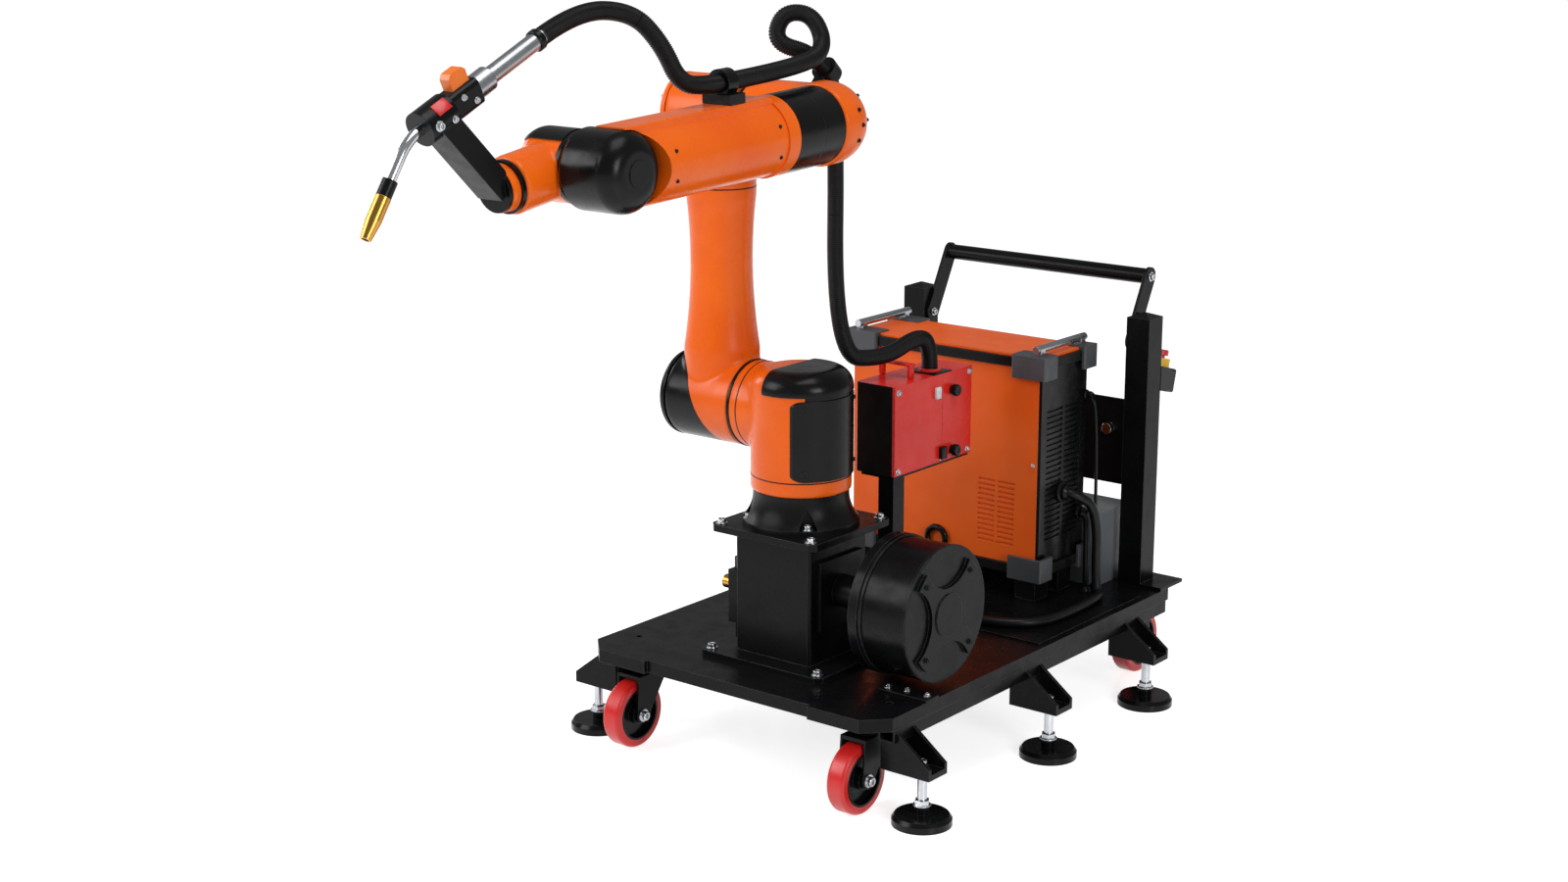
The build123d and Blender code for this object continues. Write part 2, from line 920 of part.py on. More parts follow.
def torch_nozzle():
    start = insulator_length
    end = start + nozzle_length
    waist = start + nozzle_straight
    nozzle = turned(
        [
            (nozzle_bore / 2, start),
            (nozzle_diameter / 2, start),
            (nozzle_diameter / 2, waist),
            (nozzle_mouth / 2, end),
            (nozzle_bore / 2, end),
        ]
    )
    return tip_place() * nozzle


fore_clamp_z = elbow_z + forearm_diameter / 2 + fore_clamp_height
elbow_clamp_reach = elbow_leg_diameter / 2 + elbow_clamp_height
elbow_clamp_y = pedestal_y + elbow_clamp_reach * cos(radians(elbow_clamp_angle))
elbow_clamp_z = elbow_z + elbow_clamp_reach * sin(radians(elbow_clamp_angle))


def hose_ring():
    # Split clamp ring around the hose, along Y at the origin.
    outer = hose_diameter + 2 * (clamp_wall + seat_gap)
    half = clamp_length / 2
    return disc_y(outer, -half, half, 0, 0), disc_y(hose_diameter + 2 * seat_gap, -half, half, 0, 0)


def forearm_hose_clamp():
    ring, bore = hose_ring()
    top = elbow_z + forearm_diameter / 2 + forearm_flat
    half = saddle_width / 2
    y0 = fore_clamp_y - saddle_length / 2
    y1 = fore_clamp_y + saddle_length / 2
    saddle = box(forearm_x - half, forearm_x + half, y0, y1, top, top + saddle_height)
    neck = box(
        forearm_x - hose_diameter / 3,
        forearm_x + hose_diameter / 3,
        fore_clamp_y - clamp_length / 2,
        fore_clamp_y + clamp_length / 2,
        top,
        fore_clamp_z,
    )
    place = Pos(forearm_x, fore_clamp_y, fore_clamp_z)
    return saddle + neck + place * ring - place * bore


def elbow_clamp_place():
    return Pos(elbow_clamp_x, elbow_clamp_y, elbow_clamp_z) * Rot(-elbow_clamp_angle, 0, 0)


def elbow_hose_clamp():
    ring, bore = hose_ring()
    foot = box(
        -hose_diameter / 3,
        hose_diameter / 3,
        -clamp_length / 2,
        clamp_length / 2,
        -elbow_clamp_height - elbow_clamp_sink,
        0,
    )
    clamp = elbow_clamp_place() * (foot + ring - bore)
    return clamp - disc_x(elbow_leg_diameter, elbow_face, forearm_x, pedestal_y, elbow_z)


def placed(pose, x, y, z):
    return (pose * Pos(x, y, z)).position


def hose_torch():
    # Hose from the torch tube, over the wrist, to the forearm clamp.
    back = heading(torch_tilt) * (tube_reach - hose_sleeve)
    tail = placed(wrist_pose, wrist_x, torch_y + back.Y, torch_z + back.Z)
    clamp = placed(forearm_pose, forearm_x, fore_clamp_y, fore_clamp_z)
    crest = tail + heading(torch_tilt + wrist_dip + forearm_dip) * torch_run
    arch = [tail + Vector(*corner) for corner in wrist_arch]
    lead = [clamp + Vector(*clamp_turn), clamp - heading(forearm_dip) * forearm_run]
    tube = hose([tail, crest, *arch, *lead, clamp], hose_diameter)
    core = stretch(tube_diameter + 2 * seat_gap, -tube_reach - seat_gap, 0)
    return tube - wrist_pose * along_torch(core)


def hose_elbow():
    # Hose along the forearm, looped back over the elbow to the elbow clamp.
    start = Vector(forearm_x, fore_clamp_y, fore_clamp_z)
    end = Vector(elbow_clamp_x, elbow_clamp_y, elbow_clamp_z)
    above = Vector(forearm_x, pedestal_y, fore_clamp_z)
    loop = [above + Vector(*corner) for corner in elbow_loop]
    return hose([start, *loop, end - heading(-elbow_clamp_angle) * elbow_run, end], hose_diameter)


def hose_drop():
    # Hose hanging behind the elbow and turning into the top of the feeder.
    inlet_x, inlet_y = feeder_inlet
    start = placed(forearm_pose, elbow_clamp_x, elbow_clamp_y, elbow_clamp_z)
    below = start + heading(forearm_dip - elbow_clamp_angle) * drop_run
    end = Vector(inlet_x, inlet_y, feeder_z + feeder_height)
    foot = [end + Vector(*corner) for corner in drop_foot]
    return hose([start, below, *foot, end], hose_diameter)


def wire_drum():
    back = drum_front - drum_length
    rim = drum_diameter + 2 * drum_rim
    shell = disc_x(drum_diameter, back, drum_front - lid_thickness, pedestal_y, drum_z)
    shell += disc_x(rim, back, back + drum_rim_length, pedestal_y, drum_z)
    return shell - disc_x(
        drum_diameter - 2 * drum_wall, back + drum_floor, drum_front - lid_thickness, pedestal_y, drum_z
    )


def star_point(radius, angle):
    return radius * cos(radians(angle)), radius * sin(radians(angle))


def drum_lid():
    seat = drum_front - lid_thickness
    lid = disc_x(drum_diameter, seat, drum_front, pedestal_y, drum_z)
    plug = drum_diameter - 2 * (drum_wall + seat_gap)
    lid += disc_x(plug, seat - lid_lip, seat, pedestal_y, drum_z)
    outline = []
    for arm in range(star_arms):
        middle = 360 * (arm + 0.5) / star_arms
        tip = [star_point(star_outer, middle + turn) for turn in (-star_tip, 0, star_tip)]
        valley = star_point(star_inner, middle + 180 / star_arms)
        following = star_point(star_outer, middle + 360 / star_arms - star_tip)
        outline.append(ThreePointArc(*tip))
        outline.append(ThreePointArc(tip[-1], valley, following))
    face = Plane(origin=(drum_front, pedestal_y, drum_z), x_dir=(0, 1, 0), z_dir=(1, 0, 0))
    lid += face.location * extrude(make_face(outline), star_height)
    return lid + disc_x(lid_disc_diameter, drum_front, drum_front + lid_disc_height, pedestal_y, drum_z)


def drum_mount():
    face = pedestal_size / 2
    back = drum_front - drum_length
    half = drum_plate_size / 2
    flange = box(face, face + drum_plate, pedestal_y - half, pedestal_y + half, drum_z - half, drum_z + half)
    return flange + disc_x(drum_hub_diameter, face, back, pedestal_y, drum_z)


def feeder_case():
    x1 = feeder_x + feeder_width - feeder_door
    y1 = feeder_y + feeder_length
    z1 = feeder_z + feeder_height
    case = box(feeder_x, x1, feeder_y, y1, feeder_z, z1)
    case = fillet(case.edges().filter_by(Axis.Z), feeder_door)
    inlet_x, inlet_y = feeder_inlet
    case -= disc_z(hose_diameter + 2 * seat_gap, z1 - hose_diameter, z1, inlet_x, inlet_y)
    collar = disc_z(feeder_inlet_diameter, z1, z1 + feeder_inlet_height, inlet_x, inlet_y)
    collar -= disc_z(hose_diameter + 2 * seat_gap, z1, z1 + feeder_inlet_height, inlet_x, inlet_y)
    return case + collar


def feeder_doors():
    x0 = feeder_x + feeder_width - feeder_door
    split = feeder_y + feeder_door_split
    y1 = feeder_y + feeder_length
    z1 = feeder_z + feeder_height
    front = box(x0, x0 + feeder_door, feeder_y, split - joint_gap, feeder_z, z1)
    rear = box(x0, x0 + feeder_door, split + joint_gap, y1, feeder_z, z1)
    return [front, rear]


def feeder_post():
    half = post_size / 2
    foot = post_foot / 2
    post = box(post_x - half, post_x + half, post_y - half, post_y + half, deck_top, feeder_z)
    inner = half - post_wall
    post -= box(
        post_x - inner,
        post_x + inner,
        post_y - inner,
        post_y + inner,
        deck_top + post_plate,
        feeder_z - post_plate,
    )
    post += box(post_x - foot, post_x + foot, post_y - half, post_y + foot, deck_top, deck_top + post_plate)
    arm_end = feeder_y + feeder_length
    arm_start = feeder_x + post_arm_inset
    post += box(arm_start, post_x + half, post_y - half, arm_end, feeder_z - post_plate, feeder_z)
    return post


def welder_box(inset):
    return (
        welder_x + inset,
        welder_x + welder_length - inset,
        welder_y + inset,
        welder_y + welder_depth - inset,
    )


def welder_case():
    x0, x1, y0, y1 = welder_box(welder_inset)
    z1 = welder_z + welder_height
    case = box(x0, x1 - welder_inset, y0, y1, welder_z, z1)
    right = x1 - vent_right
    for row in range(vent_rows):
        z = welder_z + vent_bottom + row * vent_pitch
        for column in range(2):
            start = right - (column + 1) * vent_width - column * vent_gap
            case -= box(start, start + vent_width, y0, y0 + louvre_depth, z, z + vent_height)
    return case


def welder_end_panel():
    x0, x1, y0, y1 = welder_box(welder_inset)
    end = box(x1 - welder_inset, x1, y0, y1, welder_z, welder_z + welder_height)
    middle = (y0 + y1) / 2
    for row in range(louvre_rows):
        z = welder_z + louvre_bottom + row * louvre_pitch
        for side in (-1, 1):
            near = middle + side * louvre_gap / 2
            far = near + side * louvre_width
            end -= box(x1 - louvre_depth, x1, min(near, far), max(near, far), z, z + louvre_height)
    return end


def welder_rims():
    # Black base pan and head rim around the case, with the lid on the head rim.
    x0, x1, y0, y1 = welder_box(0)
    z1 = welder_z + welder_height
    base = box(x0, x1, y0, y1, welder_z - welder_rim, welder_z)
    head = box(x0, x1, y0, y1, z1, z1 + welder_rim)
    return [base, head]


def welder_lid():
    x0, x1, y0, y1 = welder_box(welder_inset)
    z0 = welder_z + welder_height + welder_rim
    return box(x0, x1, y0, y1, z0, z0 + lid_sheet)


def span(start, end):
    return min(start, end), max(start, end)


def corner_guard(x, y, z):
    # Guard wrapped around the corner of the power source that lies on these sides.
    x0, x1, y0, y1 = welder_box(0)
    low = welder_z - welder_rim
    high = welder_z + welder_height + welder_rim
    px, py, pz = (x0, x1)[x], (y0, y1)[y], (low, high)[z]
    sx, sy, sz = 1 - 2 * x, 1 - 2 * y, 1 - 2 * z
    guard = box(
        *span(px - sx * bumper_wall, px + sx * bumper_length),
        *span(py - sy * bumper_wall, py + sy * bumper_depth),
        *span(pz - sz * bumper_wall, pz + sz * bumper_height),
    )
    guard = fillet(guard.edges().filter_by(Axis.Z), bumper_wall / 2)
    return guard - box(x0, x1, y0, y1, low, high) - welder_lid()


def welder_grip(x):
    # Tube across one end of the top, on two feet that stand on the corner guards.
    x0, x1, y0, y1 = welder_box(0)
    half = grip_diameter / 2
    middle = (x0 + bumper_depth / 2, x1 - bumper_depth / 2)[x]
    base = welder_z + welder_height + welder_rim + bumper_wall
    grip = disc_y(grip_diameter, y0, y1, middle, base + grip_rise)
    for y in (y0 + grip_diameter, y1 - grip_diameter):
        grip += box(middle - half, middle + half, y - half, y + half, base, base + grip_rise)
    return grip


def welder_bumpers():
    low = [corner_guard(x, y, 0) for x in (0, 1) for y in (0, 1)]
    high = [corner_guard(x, 0, 1) + corner_guard(x, 1, 1) + welder_grip(x) for x in (0, 1)]
    return low + high


def welder_stand():
    # Flat tray on the deck with the four legs of the power source.
    x0, x1, y0, y1 = welder_box(stand_inset)
    top = welder_z - welder_rim - bumper_wall
    tray_top = deck_top + tray_sheet
    tray_end = half_length - tray_rear
    stand = box(
        -half_width + tray_left, half_width - tray_right, tray_end - tray_length, tray_end, deck_top, tray_top
    )
    for x in (x0, x1 - stand_leg):
        for y in (y0, y1 - stand_leg):
            stand += box(x, x + stand_leg, y, y + stand_leg, tray_top, top)
    return stand


def welder_cables():
    # Three cables that come out of the end panel and hang to the tray.
    # The thickest runs on to the feeder post.
    x = welder_x + welder_length - welder_inset
    rest = deck_top + tray_sheet + seat_gap
    post_face = post_y + post_size / 2 + seat_gap
    cables = []
    for diameter, lead, (y, z), (out, drop_y) in zip(cable_diameters, cable_leads, cable_starts, cable_drops):
        points = [
            Vector(x, welder_y + y, z),
            Vector(x + lead, welder_y + y, z),
            Vector(x + out, welder_y + drop_y, z - cable_fall),
        ]
        if diameter == max(cable_diameters):
            floor = Vector(x + out, welder_y + drop_y, rest + diameter / 2)
            corners = [Vector(post_x + dx, post_y + dy, floor.Z + rise) for dx, dy, rise in lead_run]
            end = Vector(post_x, post_face, corners[-1].Z)
            points += [floor, floor + Vector(*lead_turn), *corners, end]
        else:
            points.append(Vector(x + out, welder_y + drop_y, rest))
        cables.append(hose(points, diameter))
    return cables


def controller_box():
    half = handle_post_inner - controller_gap
    case = box(
        -half, half, controller_y, controller_y + controller_depth, deck_top, deck_top + controller_height
    )
    return fillet(case.edges().filter_by(Axis.Z), feeder_door)


def rear_panel():
    reach = handle_post_inner
    face = handle_post_y - panel_sheet
    sheet = box(-reach, reach, face, handle_post_y, panel_z, panel_z + panel_height)
    socket_x = reach - socket_inset
    return sheet + disc_y(socket_diameter, face - socket_length, handle_post_y, socket_x, socket_z)


def handle_posts():
    outer = handle_post_outer
    inner = handle_post_inner
    y0 = handle_post_y - handle_post / 2
    y1 = y0 + handle_post
    post = box(inner, outer, y0, y1, deck_top, handle_post_top)
    middle = ((inner + outer) / 2, handle_post_y, handle_post_top)
    cap = Pos(*middle) * extrude(Rectangle(handle_post, handle_post), handle_cap, taper=70)
    post += cap
    post += box(inner, half_width, y0, y0 + handle_foot, deck_top, deck_top + handle_foot_plate)
    return [post, mirrored(post)]


def handle_bar():
    inner = handle_post_inner
    low_y = handle_post_y
    low_z = handle_post_top - handle_post
    eye = make_face(Pos(handle_bar_y, handle_bar_z) * CenterArc((0, 0), handle_arm_width / 2, 0, 360))
    root = make_face(Pos(low_y, low_z) * CenterArc((0, 0), handle_arm_width / 2, 0, 360))
    link = extrude(Plane.YZ * make_hull(eye.edges() + root.edges()), handle_arm)
    arm = Pos(inner - handle_arm, 0, 0) * link
    bar = disc_x(handle_bar_diameter, -inner + handle_arm, inner - handle_arm, handle_bar_y, handle_bar_z)
    return bar + arm + mirrored(arm)


def stop_place():
    x = handle_post_outer - handle_post / 2
    y = handle_post_y + handle_post / 2
    return Pos(x, y, stop_z) * Rot(-stop_tilt, 0, 0)


def estop_box():
    half = stop_box_width / 2
    case = box(-half, half, 0, stop_box_depth, 0, stop_box_height)
    case = fillet(case.edges().filter_by(Axis.Y), stop_box_round)
    seat = stop_box_height + stop_collar
    collar = disc_z(stop_collar_diameter, stop_box_height, seat, 0, stop_box_depth / 2)
    hole = disc_z(
        stop_stem_diameter + 2 * pin_clearance,
        stop_box_height - stop_stem,
        seat,
        0,
        stop_box_depth / 2,
    )
    wedge = box(-half, half, -stop_box_depth / 2, stop_box_depth / 2, 0, stop_box_height)
    case = stop_place() * (case + wedge + collar - hole)
    y = handle_post_y + handle_post / 2
    return case - box(0, half_width, y - 2 * handle_post, y, stop_z - handle_foot, stop_z + 2 * handle_foot)


def estop_button():
    seat = stop_box_height + stop_collar
    y = stop_box_depth / 2
    head = disc_z(stop_head_diameter, seat + stop_travel + joint_gap, seat + stop_travel + stop_head, 0, y)
    stem = disc_z(stop_stem_diameter, seat - stop_stem / 2, seat + stop_travel + joint_gap, 0, y)
    head = fillet(head.edges().group_by(Axis.Z)[-1], stop_head / 4)
    return stop_place() * (head + stem)


def valve_group():
    face = -pedestal_size / 2
    dx, dy, dz = valve_body
    body = box(face - dx, face, valve_y - dy / 2, valve_y + dy / 2, valve_z, valve_z + dz)
    x = face - dx / 2
    body += disc_z(valve_cap_diameter, valve_z + dz, valve_z + dz + valve_cap_height, x, valve_y)
    body += disc_z(valve_foot_diameter, valve_z - valve_foot_height / 2, valve_z, x, valve_y)
    knob_z = valve_z + valve_knob_height
    knob = disc_x(valve_knob_diameter, face - dx - valve_knob_length, face - dx, valve_y, knob_z)
    return body + knob


def levelling_feet():
    feet = {}
    for place, y in foot_places.items():
        feet["foot_" + place + "_left"] = levelling_foot(-foot_x, y)
        feet["foot_" + place + "_right"] = levelling_foot(foot_x, y)
    return feet


def caster_wheels():
    wheel = caster_wheel()
    front = front_caster_y - caster_trail
    rear = rear_caster_y + caster_trail
    return {
        "wheel_front_left": Pos(-caster_x, front, axle_z) * wheel,
        "wheel_front_right": Pos(caster_x, front, axle_z) * wheel,
        "wheel_rear_left": Pos(-caster_x, rear, axle_z) * wheel,
        "wheel_rear_right": Pos(caster_x, rear, axle_z) * wheel,
    }


nodes = {
    "deck": deck(),
    "deck_frame": deck_frame(),
    "foot_brackets": foot_brackets(),
    **levelling_feet(),
    "caster_mounts": front_caster_forks() + rear_caster_heads(),
    "rear_caster_fork_left": rear_caster_fork(-1),
    "rear_caster_fork_right": rear_caster_fork(1),
    **caster_wheels(),
    "pedestal": pedestal(),
    "valve_group": valve_group(),
    "arm_base": arm_base(),
    "turret": turret(),
    "turret_covers": turret_covers(),
    "upper_arm": upper_arm(),
    "upper_arm_caps": upper_arm_caps(),
    "elbow_housing": forearm_pose * elbow_housing(),
    "elbow_drive": forearm_pose * elbow_drive(),
    "forearm_drive": forearm_pose * forearm_drive(),
    "forearm_tube": forearm_pose * forearm_tube(),
    "wrist_housing": forearm_pose * wrist_housing(),
    "wrist_body": wrist_pose * wrist_body(),
    "wrist_cap": wrist_pose * wrist_cap(),
    "tool_flange": wrist_pose * tool_flange(),
    "torch_bracket": wrist_pose * torch_bracket(),
    "torch_clamp": wrist_pose * torch_clamp(),
    "torch_body": [wrist_pose * torch_body(), wrist_pose * torch_lever()],
    "torch_neck": wrist_pose * (torch_neck() + torch_insulator()),
    "torch_nozzle": wrist_pose * torch_nozzle(),
    "forearm_hose_clamp": forearm_pose * forearm_hose_clamp(),
    "elbow_hose_clamp": forearm_pose * elbow_hose_clamp(),
    "hose_torch": hose_torch(),
    "hose_elbow": forearm_pose * hose_elbow(),
    "hose_drop": hose_drop(),
    "wire_drum": wire_drum(),
    "drum_lid": drum_lid(),
    "drum_mount": drum_mount(),
    "feeder_case": feeder_case(),
    "feeder_doors": feeder_doors(),
    "feeder_post": feeder_post(),
    "welder_case": [welder_case(), welder_lid()],
    "welder_end_panel": welder_end_panel(),
    "welder_rims": welder_rims(),
    "welder_bumpers": welder_bumpers(),
    "welder_stand": welder_stand(),
    "welder_cables": welder_cables(),
    "controller_box": controller_box(),
    "rear_panel": rear_panel(),
    "handle_posts": handle_posts(),
    "handle_bar": handle_bar(),
    "estop_box": estop_box(),
    "estop_button": estop_button(),
}

os.makedirs("parts", exist_ok=True)
for name, shape in nodes.items():
    solids = [Pos(0, -origin_y, 0) * solid for solid in (shape if isinstance(shape, list) else [shape])]
    export_step(Compound(children=solids) if len(solids) > 1 else solids[0], f"parts/{name}.step")
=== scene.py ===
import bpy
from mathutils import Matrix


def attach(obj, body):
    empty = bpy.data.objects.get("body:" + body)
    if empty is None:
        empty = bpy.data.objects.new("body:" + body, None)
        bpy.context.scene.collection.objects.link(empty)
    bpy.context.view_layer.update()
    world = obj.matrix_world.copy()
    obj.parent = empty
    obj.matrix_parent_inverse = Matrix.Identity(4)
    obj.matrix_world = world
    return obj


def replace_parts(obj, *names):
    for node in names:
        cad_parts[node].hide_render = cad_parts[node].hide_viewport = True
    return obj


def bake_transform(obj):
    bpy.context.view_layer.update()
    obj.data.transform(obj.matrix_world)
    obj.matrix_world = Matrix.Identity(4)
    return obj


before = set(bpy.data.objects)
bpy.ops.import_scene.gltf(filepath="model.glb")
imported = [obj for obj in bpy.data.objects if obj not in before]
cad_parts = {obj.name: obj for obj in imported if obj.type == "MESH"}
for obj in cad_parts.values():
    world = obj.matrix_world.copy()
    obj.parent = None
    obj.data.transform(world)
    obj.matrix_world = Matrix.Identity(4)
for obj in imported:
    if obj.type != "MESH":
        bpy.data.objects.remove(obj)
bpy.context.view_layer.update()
print("frame loaded")

import math

import bmesh
import bpy
from mathutils import Matrix, Vector

# Places below are in millimetres from the middle of the deck, and deckY moves them to the row frame.
deckY = 418
up = (0, 0, 1)
toRight = (1, 0, 0)
toLeft = (-1, 0, 0)
toFront = (0, -1, 0)
toBack = (0, 1, 0)
arm = {
    "y": -337,
    "shoulderZ": 762,
    "elbowZ": 1374,
    "reach": 644,
    "forearmX": 60,
    "wristX": -67,
    "dip": 2.6,  # degrees that the forearm falls towards its front
    "bow": 8.6,  # degrees that the tool's axis does
}
torch = {
    "clamp": (-67, -1300.3, 1461.2),
    "rise": 24.6,  # degrees that the torch climbs towards its back
    "front": 40,
    "neckBend": 32,  # degrees
    "neckRadius": 120,
    "neckRun": 45,
}


def at(x, y, z):
    return Vector((x / 1000, (y + deckY) / 1000, z / 1000))


def colour(code):
    # Linear colour of an sRGB hex value.
    parts = [int(code[i : i + 2], 16) / 255 for i in (1, 3, 5)]
    return [p / 12.92 if p <= 0.04045 else ((p + 0.055) / 1.055) ** 2.4 for p in parts] + [1]


def heading(angle):
    # Direction towards the back, tipped up by the angle.
    return Vector((0, math.cos(math.radians(angle)), math.sin(math.radians(angle))))


def onForearm(x, along, rise):
    # Place beside the forearm's axis: millimetres ahead of the elbow and above the axis.
    spot = heading(arm["dip"]) * -along + heading(arm["dip"] + 90) * rise
    return x, arm["y"] + spot.y, arm["elbowZ"] + spot.z


def onTorch(x, back, rise):
    # Place beside the torch: millimetres behind its clamp and above its axis.
    spot = heading(torch["rise"]) * back + heading(torch["rise"] + 90) * rise
    return torch["clamp"][0] + x, torch["clamp"][1] + spot.y, torch["clamp"][2] + spot.z


# Finishes


def add(tree, kind, inputs=None, **settings):
    made = tree.nodes.new("ShaderNode" + kind)
    for name, value in settings.items():
        setattr(made, name, value)
    for name, value in (inputs or {}).items():
        if isinstance(value, bpy.types.NodeSocket):
            tree.links.new(value, made.inputs[name])
        else:
            made.inputs[name].default_value = value
    return made


def pastPlane(place, normal):
    # Mask of the side of a plane that its normal points to.
    def mask(tree, spot):
        away = add(tree, "VectorMath", {0: spot, 1: at(*place)}, operation="SUBTRACT")
        depth = add(tree, "VectorMath", {0: away.outputs[0], 1: Vector(normal)}, operation="DOT_PRODUCT")
        return add(tree, "Math", {0: depth.outputs["Value"], 1: 0}, operation="GREATER_THAN").outputs[0]

    return mask


def awayFrom(place, axis, radius):
    # Mask of what lies further than the radius in millimetres from an axis.
    def mask(tree, spot):
        away = add(tree, "VectorMath", {0: spot, 1: at(*place)}, operation="SUBTRACT")
        across = add(tree, "VectorMath", {0: away.outputs[0], 1: Vector(axis)}, operation="CROSS_PRODUCT")
        reach = add(tree, "VectorMath", {0: across.outputs[0]}, operation="LENGTH")
        beyond = {0: reach.outputs["Value"], 1: radius / 1000}
        return add(tree, "Math", beyond, operation="GREATER_THAN").outputs[0]

    return mask


# The three shades are the colour, the one it drifts to and the one of its edges, which is partly wear and
# partly painted highlight.
finishes = {
    # Two-pack paint on cast aluminium: a deep even orange under a smooth gloss.
    "orangeTwoPackPaint": {"shades": ("#f0680f", "#e75d0a", "#f8954a"), "rough": (0.22, 0.33), "shine": 0.25},
    # Powder coat on folded sheet: a redder orange, with a soft sheen from its fine orange peel.
    "orangePowderCoat": {"shades": ("#f2661a", "#ea5d14", "#f58547"), "rough": (0.34, 0.46), "shine": 0.25},
    # Gloss enamel on sheet steel: clear bright red with sharp reflections.
    "redEnamel": {"shades": ("#dd2a1f", "#d1231a", "#e6625a"), "rough": (0.22, 0.32), "shine": 0.25},
    # Gloss powder coat on welded steel: black that takes long soft reflections, its edges painted pale as
    # wear and as painted highlight.
    "blackPowderCoat": {"shades": ("#0b0b0d", "#0f1011", "#64676b"), "rough": (0.24, 0.36), "shine": 0.1},
    # Satin paint on steel: black with wide dull highlights.
    "blackSatinPaint": {"shades": ("#0c0c0e", "#111213", "#4a4d51"), "rough": (0.3, 0.42), "shine": 0.12},
    # Moulded ABS: black with the fine even texture of its mould.
    "blackAbs": {"shades": ("#0a0a0c", "#0e0f10", "#2a2c2f"), "rough": (0.2, 0.3), "shine": 0.16},
    # Moulded rubber: dull grey, a little dusty.
    "greyRubber": {"shades": ("#3a3c40", "#424448", "#6c6f73"), "rough": (0.42, 0.56)},
    # Paint on folded sheet: an even mid grey with a soft sheen.
    "greyPaint": {"shades": ("#5f6367", "#686c70", "#888b8f"), "rough": (0.36, 0.48)},
    # Cast polyurethane tread: strong red with a waxy gloss.
    "redPolyurethane": {"shades": ("#dd2420", "#cf1d1c", "#e8584f"), "rough": (0.28, 0.4)},
    # Turned and zinc-plated steel: bright, with a slightly clouded shine.
    "zincSteel": {"shades": ("#c3c6ca", "#b2b5ba", "#dfe1e4"), "rough": (0.2, 0.34), "metal": 1},
    # Brushed stainless tube: bright with a softer shine.
    "brushedSteel": {"shades": ("#b4b7bb", "#a7aaae", "#d2d4d7"), "rough": (0.24, 0.34), "metal": 1},
    # Chromed copper tube: mirror bright.
    "chrome": {"shades": ("#d3d5d8", "#c9cbcf", "#e6e7e9"), "rough": (0.1, 0.2), "metal": 1},
    # Turned brass: warm yellow metal.
    "brass": {"shades": ("#cfa052", "#bd8d41", "#e2bf78"), "rough": (0.2, 0.3), "metal": 1},
    # Nylon braid over a ribbed hose: nearly black and dull.
    "nylonBraid": {"shades": ("#0b0b0c", "#101112", "#232527"), "rough": (0.38, 0.5), "shine": 0.15},
    # Chloroprene cable sheath: black rubber with a soft shine.
    "cableRubber": {"shades": ("#0c0d0e", "#111213", "#2a2c2e"), "rough": (0.3, 0.42), "shine": 0.2},
    # Moulded nylon in signal colours: clear and even, with a soft gloss.
    "yellowNylon": {"shades": ("#ecbc12", "#e0b00c", "#f3d158"), "rough": (0.32, 0.44)},
    "redNylon": {"shades": ("#da1f20", "#cb191a", "#e8605a"), "rough": (0.22, 0.34)},
    "orangeNylon": {"shades": ("#f47b1d", "#ea7014", "#f9a25c"), "rough": (0.28, 0.4)},
    "whiteNylon": {"shades": ("#dcdddf", "#d0d1d3", "#eeeeef"), "rough": (0.36, 0.48)},
}
usual = {"metal": 0, "shine": 0.5}
# Sizes are in millimetres, and the grain is coarser than the real one, so that it shows at all.
skin = {
    "drift": 180,
    "driftSpan": (0.35, 0.65),
    "smear": 45,
    "smearSpan": (0.4, 0.62),
    "grain": 2.4,
    "bump": 0.012,
    "bumpStrength": 0.2,
    "round": 1.8,
    "edgeSpan": (0.995, 0.88),  # how far an edge's rounded normal agrees with its flat one
    # How strongly edges are painted paler, as wear and as painted highlight.
    "edgeWearAndHighlight": 0.7,
    "leastWearAndHighlight": 0.4,
}


